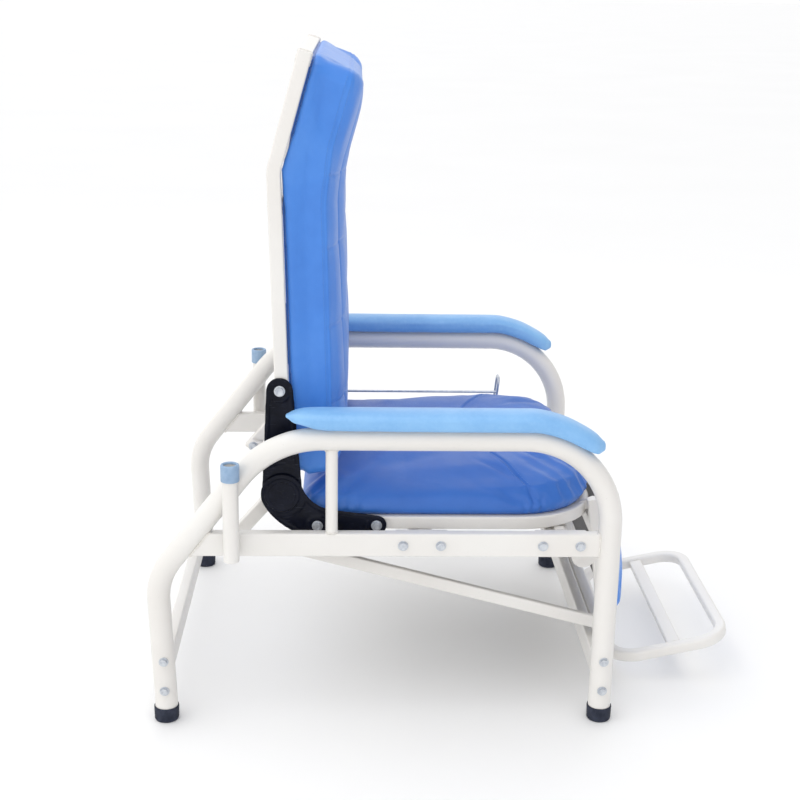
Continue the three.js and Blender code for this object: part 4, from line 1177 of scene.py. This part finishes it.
def reshaped(obj, rule):
    """Moves every vertex by rule(point in metres, normal), which returns the new point."""
    pairs = zip(read_points(obj.data, "co"), read_points(obj.data, "normal"))
    place_points(obj.data, np.array([rule(Vector(co), Vector(normal)) for co, normal in pairs]))


def padded_cover(obj, look, body, node):
    finish(obj, look, body, "vinyl", (node,), sharp=0)
    return obj


def refined(obj, near):
    """Halves the mesh edges whose two ends both satisfy near(point), to leave room for a narrow seam."""
    work = bmesh.new()
    work.from_mesh(obj.data)
    chosen = {v for v in work.verts if near(v.co)}
    edges = [e for e in work.edges if e.verts[0] in chosen and e.verts[1] in chosen]
    bmesh.ops.subdivide_edges(work, edges=edges, cuts=1, use_grid_fill=True)
    work.to_mesh(obj.data)
    work.free()
    obj.data.update()


def gather(position, spots, width, depth):
    """Depth of the little pleats at the spots along an edge, in millimetres."""
    return sum(depth * bell(position - spot, width) for spot in spots)


def seam_relief(off, depth, width, roll, reach):
    """A sewn seam's profile: a groove of that depth, with a soft roll beside it."""
    return depth * bell(off, width) - roll * bell(abs(off) - reach, 5.0)


SEAT_GATHERS = (-92, -82, -68, -47, 232, 246, 262, 305, 318)
SEAT_GATHERS_FRONT = (-196, -178, -150, -60, 12, 72, 148, 176, 198)
SEAT_SEAM_SIDE_X, SEAT_SEAM_DEPTH = 250.0, 120.0
SEAT_RIM_DROP, SEAT_RIM_LOW, SEAT_BULGE_FRONT, SEAT_BULGE_REAR = 6.2, 350.6, 11.0, 10.0
SEAT_SETTLE = ((-140, -70, 34, 130, 228, 300, 340), (3, 5, 16, 17, 9, -3, -4))


def seat_seam_x(y):
    """The curved seam between the seat's top and its front panel, in plan."""
    share = min(abs(y) / SEAT_Y, 1.0)
    return SEAT_SEAM_SIDE_X - SEAT_SEAM_DEPTH * (1 - share ** 1.6)


def seat_cushion():
    def cap(p):
        crown = 1 - 0.62 * smooth(p.z / MM, 392, 420)
        return 7 + 16 * crown * smooth(p.x / MM - SHIFT_X, -90, 30)

    def held(p):
        return 1 - smooth(p.z / MM, 361, 374)

    def near_seam(co):
        x, y, z = layout(co)
        return z > 364 and abs(x - seat_seam_x(y)) < 9

    obj = puffed("seat_cushion", "seat_pad", 6.0, 4.5, cap, held)
    refined(obj, near_seam)

    def rule(co, normal):
        x, y, z = layout(co)
        outside = max(abs(y) - 270.5, SEAT_X[0] - 4.5 - x, x - (SEAT_X[1] - 3.5), corner_reach(x, y))
        if outside > 0:
            z = max(z - SEAT_RIM_DROP * (1 - smooth(z, 352, 380)) * smooth(outside, 0, 2), SEAT_RIM_LOW)
        else:
            z = max(z, SEAT_BOARD_TOP)
        z -= float(np.interp(x, *SEAT_SETTLE)) * smooth(z, 380, 425)
        wall = smooth(z, 357, 372)
        x += wall * (SEAT_BULGE_FRONT * smooth(x, 190, 340) - SEAT_BULGE_REAR * smooth(-x, 60, 128))
        low = 1 - smooth(z, 356, 394)
        if abs(normal.z) < 0.8 and low > 0:
            pleats = gather(x, SEAT_GATHERS, 4.2, 3.4) * smooth(abs(y), 240, 262)
            pleats += gather(y, SEAT_GATHERS_FRONT, 4.2, 3.2) * smooth(x, 320, 338)
            x -= normal.x * pleats * low
            y -= normal.y * pleats * low
        valley = seam_relief(x - seat_seam_x(y), 1.8, 1.6, 0.9, 7) * smooth(z, 362, 376)
        z -= valley * max(normal.z, 0.0)
        y -= valley * normal.y * 0.8
        return at(x, y, z)

    reshaped(obj, rule)
    # the seat's cover takes the darker copy of the blue vinyl: painted shade
    return padded_cover(obj, "vinyl_seat", "base", "seat_cushion")


def corner_reach(x, y):
    """How far (x, y) lies outside the seat board's rounded front corners."""
    cx, cy, radius = SEAT_X[1] - 4 - SEAT_CORNER, SEAT_Y - 3 - SEAT_CORNER, SEAT_CORNER
    if x < cx or abs(y) < cy:
        return -1.0
    return math.hypot(x - cx, abs(y) - cy) - radius - 0.5


BACK_COLUMNS = (-182.0, -62.0, 62.0, 182.0)
BACK_ROWS = (142.0, 271.0, 400.0, 529.0)
HEAD_FILL, SHOULDER_FILL = 3.0, 11.0
BACK_RIM_DROP, BACK_RIM_LOW, BACK_BOARD_FACE, BEND_DROP = 6.5, 13.0, 19.9, 10.0
BACK_LOW_DROP = 14.0


def channel_distances(s, y):
    """How far (s, y) is from the nearest upright channel and the nearest level one."""
    return min(abs(y - c) for c in BACK_COLUMNS), min(abs(s - r) for r in BACK_ROWS)


def quilting(s, y):
    """How deep the back's sewn channels lie at (s, y), in millimetres."""
    in_field = smooth(s, 30, 70) * (1 - smooth(s, 640, 700)) * (1 - smooth(abs(y), 236, 262))
    calm = 1.0 - 0.45 * smooth(s, BACK_BEND_S + 10, BACK_BEND_S + 60)
    column, row = channel_distances(s, y)
    seam = 4.5 * bell(column, 4.0) + 4.5 * bell(column, 19.0)
    edge_row = smooth(abs(y), 170, 200)
    cross = 1.8 * bell(row, 3.0) + 2.4 * bell(row, 24.0)
    cross *= 0.45 + 0.55 * max(bell(column, 46.0), edge_row)
    return in_field * max(seam * calm, cross) + in_field * 0.35 * min(seam * calm, cross)


BACK_BOARD_S = (32.0, 710.0)
BACK_BOARD_TOP_R, BACK_BOARD_LOW_R = 36.0, 20.0


def off_back_board(s, y):
    """True where (s, y) lies outside the back board, whose four corners are rounded."""
    slack = 0.5
    y, (low, top) = abs(y), BACK_BOARD_S
    if y > BACK_BOARD_Y + slack or s > top + slack or s < low - slack:
        return True
    high = math.hypot(max(s - (top - BACK_BOARD_TOP_R), 0), max(y - (BACK_BOARD_Y - BACK_BOARD_TOP_R), 0))
    foot = math.hypot(max(low + BACK_BOARD_LOW_R - s, 0), max(y - (BACK_BOARD_Y - BACK_BOARD_LOW_R), 0))
    return high > BACK_BOARD_TOP_R + slack or foot > BACK_BOARD_LOW_R + slack


def back_cushion():
    def cap(p):
        s, _, _ = back_coords(p)
        return 6 + 7 * smooth(s, 10, 90) + 4 * smooth(s, 560, 640)

    def held(p):
        _, n, _ = back_coords(p)
        return 1 - smooth(n, 24, 38)

    def near_seam(co):
        s, n, _ = back_coords(co)
        return n > 60 and min(channel_distances(s, co.y / MM)) < 8 or abs(n - BACK_SEAM_N) < 8

    obj = puffed("back_cushion", "back_pad", 6.0, 6.0, cap, held)
    refined(obj, near_seam)

    def rule(co, normal):
        s, n, facing = back_coords(co)
        y = co.y / MM
        forward = normal.dot(facing)
        if off_back_board(s, y):
            bend = BEND_DROP * max(0.0, 1 - abs(s - BACK_BEND_S) / 60) * smooth(abs(y), 262, 266)
            n = max(n - (BACK_RIM_DROP + bend) * (1 - smooth(n, 22, 44)), BACK_RIM_LOW - bend)
        else:
            n = max(n, BACK_BOARD_FACE)
        n += SHOULDER_FILL * smooth(n, 42, 67) * (1 - smooth(n, 80, 106))
        s -= BACK_LOW_DROP * (1 - smooth(s, 24, 60)) * smooth(n, 26, 40)
        n -= quilting(s, y) * smooth(forward, 0.15, 0.75)
        n += HEAD_FILL * smooth(s, 610, 690) * smooth(n, 50, 86) * (1 - smooth(abs(y), 215, 262))
        side_face = smooth(abs(normal.y), 0.5, 0.9)
        welt = seam_relief(n - BACK_SEAM_N, 1.4, 2.6, 0.6, 8)
        y -= math.copysign(welt * side_face, y)
        end_face = smooth(abs(normal.dot(Vector((-facing.z, 0, facing.x)))), 0.5, 0.9)
        s -= math.copysign(welt * end_face, s - 360)
        s = max(s, 11.0)
        return back_point(s, y, n)

    reshaped(obj, rule)
    return padded_cover(obj, "vinyl", "backrest", "back_cushion")


LEG_RIM_DROP, LEG_RIM_LOW, LEG_BOARD_FACE, LEG_SEAM_T = 6.0, 11.2, 17.3, 26.0


def leg_pad():
    ahead = Vector((math.cos(LEG_LEAN), math.sin(LEG_LEAN)))
    down = Vector((math.sin(LEG_LEAN), -math.cos(LEG_LEAN)))

    def cap(p):
        return 8.0

    def held(p):
        return 1 - smooth((side_layout(p) - LIFT_PIVOT).dot(ahead), 19, 27)

    obj = puffed("legrest_pad", "calf_pad", 4.0, 4.0, cap, held)

    def rule(co, normal):
        p = side_layout(co) - LIFT_PIVOT
        t, n, y = p.dot(down), p.dot(ahead), co.y / MM
        outside = max(abs(y) - 227.5, LEG_PAD_T[0] + 4.5 - t, t - LEG_PAD_T[1] + 4.5)
        if outside > 0:
            n = max(n - LEG_RIM_DROP * (1 - smooth(n, 18, 32)), LEG_RIM_LOW)
        else:
            n = max(n, LEG_BOARD_FACE)
        low = 1 - smooth(n, 14, 36)
        pleats = gather(t, (24, 36, 158, 172), 2.8, 1.9) * smooth(abs(y), 200, 222)
        y -= math.copysign(pleats * low, y)
        if normal.dot(Vector((ahead.x, 0, ahead.y))) > 0.1:
            n -= 2.2 * bell(t - LEG_SEAM_T, 2.6)
        return leg_point(t, y, n)

    reshaped(obj, rule)
    return padded_cover(obj, "vinyl", "legrest", "legrest_pad")


ARM_STATIONS = [(-160, 536, 542, 9), (-150, 530, 546.5, 19), (-132, 527.5, 550, 26), (-90, 524.5, 551, 29),
                (60, 523, 551, 29), (210, 523, 551, 29), (245, 522, 549.5, 29), (285, 510, 539, 28.5),
                (318, 493, 523, 27), (337, 481, 511, 22), (348, 484, 500, 11)]
ARM_LIP = 5.0


def arm_station(x):
    """Low, high and half width of the arm pad at x, eased between its stations."""
    last = len(ARM_STATIONS) - 1
    i = next((k for k in range(last) if x <= ARM_STATIONS[k + 1][0]), last - 1)
    p = [ARM_STATIONS[min(max(k, 0), last)] for k in (i - 1, i, i + 1, i + 2)]
    span = p[2][0] - p[1][0]
    t = (x - p[1][0]) / span
    values = []
    for c in (1, 2, 3):
        m1 = (p[2][c] - p[0][c]) / max(p[2][0] - p[0][0], 1e-6) * span
        m2 = (p[3][c] - p[1][c]) / max(p[3][0] - p[1][0], 1e-6) * span
        values.append((2 * t ** 3 - 3 * t ** 2 + 1) * p[1][c] + (t ** 3 - 2 * t ** 2 + t) * m1
                      + (-2 * t ** 3 + 3 * t ** 2) * p[2][c] + (t ** 3 - t ** 2) * m2)
    return values


def arm_pad(label, side):
    """A moulded foam pad: crowned top, tucked underside, drooping front."""
    rings = []
    rows = np.concatenate([np.linspace(-160, -132, 10)[:-1], np.linspace(-132, 300, 110)[:-1],
                           np.linspace(300, 348, 22)])
    for x in rows:
        low, high, half = arm_station(x)
        middle, rise = (low + high) / 2, (high - low) / 2
        ring = []
        for k, a in enumerate(angles(56)):
            u, v = math.cos(a), math.sin(a)
            shape_u = math.copysign(abs(u) ** (0.92 if v > 0 else 0.5), u)
            shape_v = math.copysign(abs(v) ** (0.96 if v > 0 else 0.5), v)
            soft = 0.5 * noise.noise(Vector((x * 0.018, k * 0.35, side * 3.0)))
            parting = -0.9 * bell(v + 0.62, 0.10)
            across = (half + soft + parting) * shape_u
            lip = ARM_LIP * smooth(abs(across), 19, 24) * smooth(-v, 0.0, 0.7) * smooth(x, -150, -110)
            height = middle + (rise + soft * 0.6) * shape_v - lip
            ring.append(at(x, side * SIDE_Y + across, height))
        rings.append(ring)
    for index, toward in ((0, -1), (-1, 1)):
        ring = rings[index]
        centre = sum(ring, Vector()) / len(ring)
        bulge = 3.5 * MM
        extra = [[centre + (p - centre) * share + Vector((toward * bulge * swell, 0, 0)) for p in ring]
                 for share, swell in ((0.86, 0.5), (0.6, 0.85), (0.3, 1.0))]
        rings = extra[::-1] + rings if index == 0 else rings + extra
    obj = make(f"armrest_{label}", [skin(rings)], "pale_vinyl", "base",
               stands_for=(f"arm_pad_{label}",), sharp=0)


# ------------------------------------------------------------------ sewing
def stitch(a, b, out, radius=0.42):
    """One stitch from a to b: a short thread that dips in at both ends."""
    along = b - a
    rings = []
    side = along.cross(out).normalized()
    up = side.cross(along).normalized()
    for t in (0.0, 0.25, 0.75, 1.0):
        lift = (0.25 if t in (0.0, 1.0) else 0.55) * MM
        thick = radius * (0.6 if t in (0.0, 1.0) else 1.0) * MM
        p = a + along * t + out * (lift - 0.2 * MM)
        rings.append([p + spoke(up, side, q) * thick for q in angles(6)])
    return skin(rings)


def sewn(name, target, rays, body, length=3.0, gap=1.6):
    """Stitches along each run of (origin, direction) rays, laid on the target's surface."""
    tree = BVHTree.FromObject(target, bpy.context.evaluated_depsgraph_get())
    shells = []
    for run in rays:
        hits = [tree.ray_cast(origin, direction, 0.12)[:2] for origin, direction in run]
        hits = [(p, n) for p, n in hits if p is not None]
        for (p, n), (q, _) in zip(hits, hits[1:]):
            if (q - p).length < 6 * MM:
                shells.append(stitch(p, p.lerp(q, length / (length + gap)), n))
    make(name, shells, "thread", body, "vinyl", sharp=60)


STITCH_PITCH = 4.6


def back_stitching(pad):
    rays = []
    for _, side in SIDES:
        for n in (BACK_SEAM_N - 4.5, BACK_SEAM_N + 4.5):
            rays.append([(back_point(s, side * (BACK_Y + 40), n), -side * Y)
                         for s in np.arange(40, 704, STITCH_PITCH)])
    sewn("back_side_stitches", pad, rays, "backrest")


def seat_stitching(pad):
    rays = []
    for offset in (-4.2, 4.2):
        run = []
        y = -262.0
        while y < 262:
            x = seat_seam_x(y) + offset
            run.append((at(x, y, 480), -Z))
            slope = seat_seam_x(y + 1) - seat_seam_x(y)
            y += STITCH_PITCH / math.hypot(1, slope)
        rays.append(run)
    sewn("seat_front_stitches", pad, rays, "base")


def staples(name, places, body):
    """Wire staples: places are (centre, along, out) in the row frame."""
    shells = []
    half = 5.0 * MM
    bend = ((-1, 0), (-1, 0.7), (-0.86, 0.9), (0.86, 0.9), (1, 0.7), (1, 0))
    for centre, along, out in places:
        path = [centre + along * half * share + out * rise * MM for share, rise in bend]
        shells.append(wire(path, 0.45, 6))
    make(name, shells, "zinc", body, "zinc", sharp=60)


BACK_BOARD_N = 11.3


def board_staples():
    """Rows of staples that hold the covers to the boards, behind the back and under the seat."""
    places = []
    for k, s in enumerate(np.arange(46, 700, 36)):
        for _, side in SIDES:
            tilt = 0.25 * math.sin(7.3 * k + side)
            facing = back_coords(back_point(s, 0, BACK_BOARD_N))[2]
            up = Vector((-facing.z, 0, facing.x))
            along = spoke(up, Y, tilt).normalized()
            spot = back_point(s, side * (BACK_BOARD_Y - 12 - BOX / 2), BACK_BOARD_N)
            places.append((spot, along, -facing))
    staples("back_board_staples", places, "backrest")
    places = []
    for k, x in enumerate(np.arange(-90, 300, 38)):
        for _, side in SIDES:
            tilt = 0.3 * math.sin(5.1 * k + side)
            places.append((at(x, side * 248, 350.3), spoke(X, Y, tilt), -Z))
    staples("seat_board_staples", places, "base")


def boards():
    """The boards keep their CAD shape: the covers wrap their edges, and black cloth closes the far face."""
    for node, body, toward in (("seat_board", "base", Z), ("back_board", "backrest", X),
                               ("legrest_board", "legrest", X)):
        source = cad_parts[node]
        obj = bpy.data.objects.new(f"{node}_covered", source.data.copy())
        bpy.context.scene.collection.objects.link(obj)
        finish(obj, "plywood", body, "plywood", (node,), sharp=30)
        # the edges take the seat's darker copy of the blue vinyl, which holds painted shade
        obj.data.materials.append(LOOKS["vinyl_seat"])
        for face in obj.data.polygons:
            face.material_index = 0 if face.normal.dot(toward) < -0.8 else 1
        soft_edges(obj, 1.0)


def arm_strips():
    for label, _ in SIDES:
        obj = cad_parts[f"arm_pad_strip_{label}"]
        obj.data.materials.clear()
        obj.data.materials.append(LOOKS["paint"])
        soft_edges(obj, 0.5)


# ------------------------------------------------------------------ studio
def camera():
    pitch, yaw, roll = math.radians(16.796), math.radians(2.1117), math.radians(1.0059)
    ahead = Vector((math.sin(yaw) * math.cos(pitch), math.cos(yaw) * math.cos(pitch), -math.sin(pitch)))
    level = Vector((math.cos(yaw), -math.sin(yaw), 0))
    above = level.cross(ahead)
    right = level * math.cos(roll) + above * math.sin(roll)
    up = above * math.cos(roll) - level * math.sin(roll)
    lens = bpy.data.cameras.new("photo_camera")
    lens.lens, lens.sensor_width = 63.06, 36.0
    obj = bpy.data.objects.new("photo_camera", lens)
    basis = Matrix((right, up, -ahead)).transposed().to_4x4()
    obj.matrix_world = Matrix.Translation((-0.17755, -2.4596, 1.2106)) @ basis
    bpy.context.scene.collection.objects.link(obj)
    bpy.context.scene.camera = obj


def area_light(name, place, target, size, power, tint=(1, 1, 1)):
    light = bpy.data.lights.new(name, "AREA")
    light.shape, light.size, light.size_y = "RECTANGLE", size[0], size[1]
    light.energy, light.color = power, tint
    obj = bpy.data.objects.new(name, light)
    obj.location = place
    aim = Vector(target) - Vector(place)
    obj.rotation_euler = aim.to_track_quat("-Z", "Y").to_euler()
    bpy.context.scene.collection.objects.link(obj)


def soft_box(tree):
    """A white surround that is dimmer on the side that the chair faces."""
    place = tree.nodes.new("ShaderNodeTexCoord")
    split = tree.nodes.new("ShaderNodeSeparateXYZ")
    tone = tree.nodes.new("ShaderNodeValToRGB")
    span = tree.nodes.new("ShaderNodeMapRange")
    span.inputs["From Min"].default_value = -1.0
    low, high = tone.color_ramp.elements
    low.position, low.color = 0.45, (1.18, 1.18, 1.18, 1)
    high.position, high.color = 0.95, (0.45, 0.45, 0.47, 1)
    tree.links.new(place.outputs["Generated"], split.inputs["Vector"])
    tree.links.new(split.outputs["X"], span.inputs["Value"])
    tree.links.new(span.outputs[0], tone.inputs["Fac"])
    path = tree.nodes.new("ShaderNodeLightPath")
    seen = tree.nodes.new("ShaderNodeMix")
    seen.data_type = "RGBA"
    ports = {port.name: port for port in seen.inputs if port.enabled}
    ports["B"].default_value = (0.95, 0.95, 0.95, 1)
    tree.links.new(path.outputs["Is Camera Ray"], ports["Factor"])
    tree.links.new(tone.outputs["Color"], ports["A"])
    made = [port for port in seen.outputs if port.enabled][0]
    tree.links.new(made, tree.nodes["Background"].inputs["Color"])


FLOOR_REACH = 90.0


def studio():
    floor = bpy.data.meshes.new("floor")
    corners = ((-1, -1), (1, -1), (1, 1), (-1, 1))
    floor.from_pydata([(FLOOR_REACH * x, FLOOR_REACH * y, 0) for x, y in corners], [], [(0, 1, 2, 3)])
    obj = bpy.data.objects.new("floor", floor)
    obj.location.z = cad_low.z
    floor.materials.append(floor_look())
    bpy.context.scene.collection.objects.link(obj)
    world = bpy.data.worlds.new("studio")
    world.use_nodes = True
    world.node_tree.nodes["Background"].inputs["Strength"].default_value = 1.07
    soft_box(world.node_tree)
    bpy.context.scene.world = world
    area_light("key_above", (-0.6, -0.9, 3.1), (0, 0, 0.5), (2.2, 1.8), 12)
    area_light("front_fill", (0.5, -3.4, 1.5), (0, 0, 0.55), (3.0, 2.0), 6)
    area_light("rear_rim", (1.2, 2.6, 2.2), (0, 0, 0.6), (2.4, 1.6), 6)
    bpy.context.scene.view_settings.view_transform = "Standard"


# ------------------------------------------------------------------ everything together
camera()
studio()
for name, sign in SIDES:
    side_frame(name, sign)
    rubber_feet(name, sign)
    side_rail(name, sign)
    side_bolts(name, sign)
    arm_post(name, sign)
    pole_socket(name, sign)
    arm_pad(name, sign)
    hinge(name, sign)
    back_upright(name, sign)
    recline_lever(name, sign)
    link_rod(name, sign)
cross_tube("rear_stretcher", CROSS_X[0], "rear_cross_tube")
cross_tube("front_stretcher", CROSS_X[1], "front_cross_tube")
seat_beam("beam_rear", BEAM_X[0], "seat_beam_rear")
seat_beam("beam_front", BEAM_X[1], "seat_beam_front")
seat_frame()
wire_rack()
back_bar("top_bar", BACK_TOP_S - BOX / 2, "back_top_bar")
back_bar("cross_bar_upper", BACK_BEND_S - 60, "back_cross_bar_upper")
back_bar("cross_bar_lower", 95, "back_cross_bar_lower")
legrest_frame()
footrest()
boards()
arm_strips()
seat_stitching(seat_cushion())
back_stitching(back_cushion())
leg_pad()
board_staples()
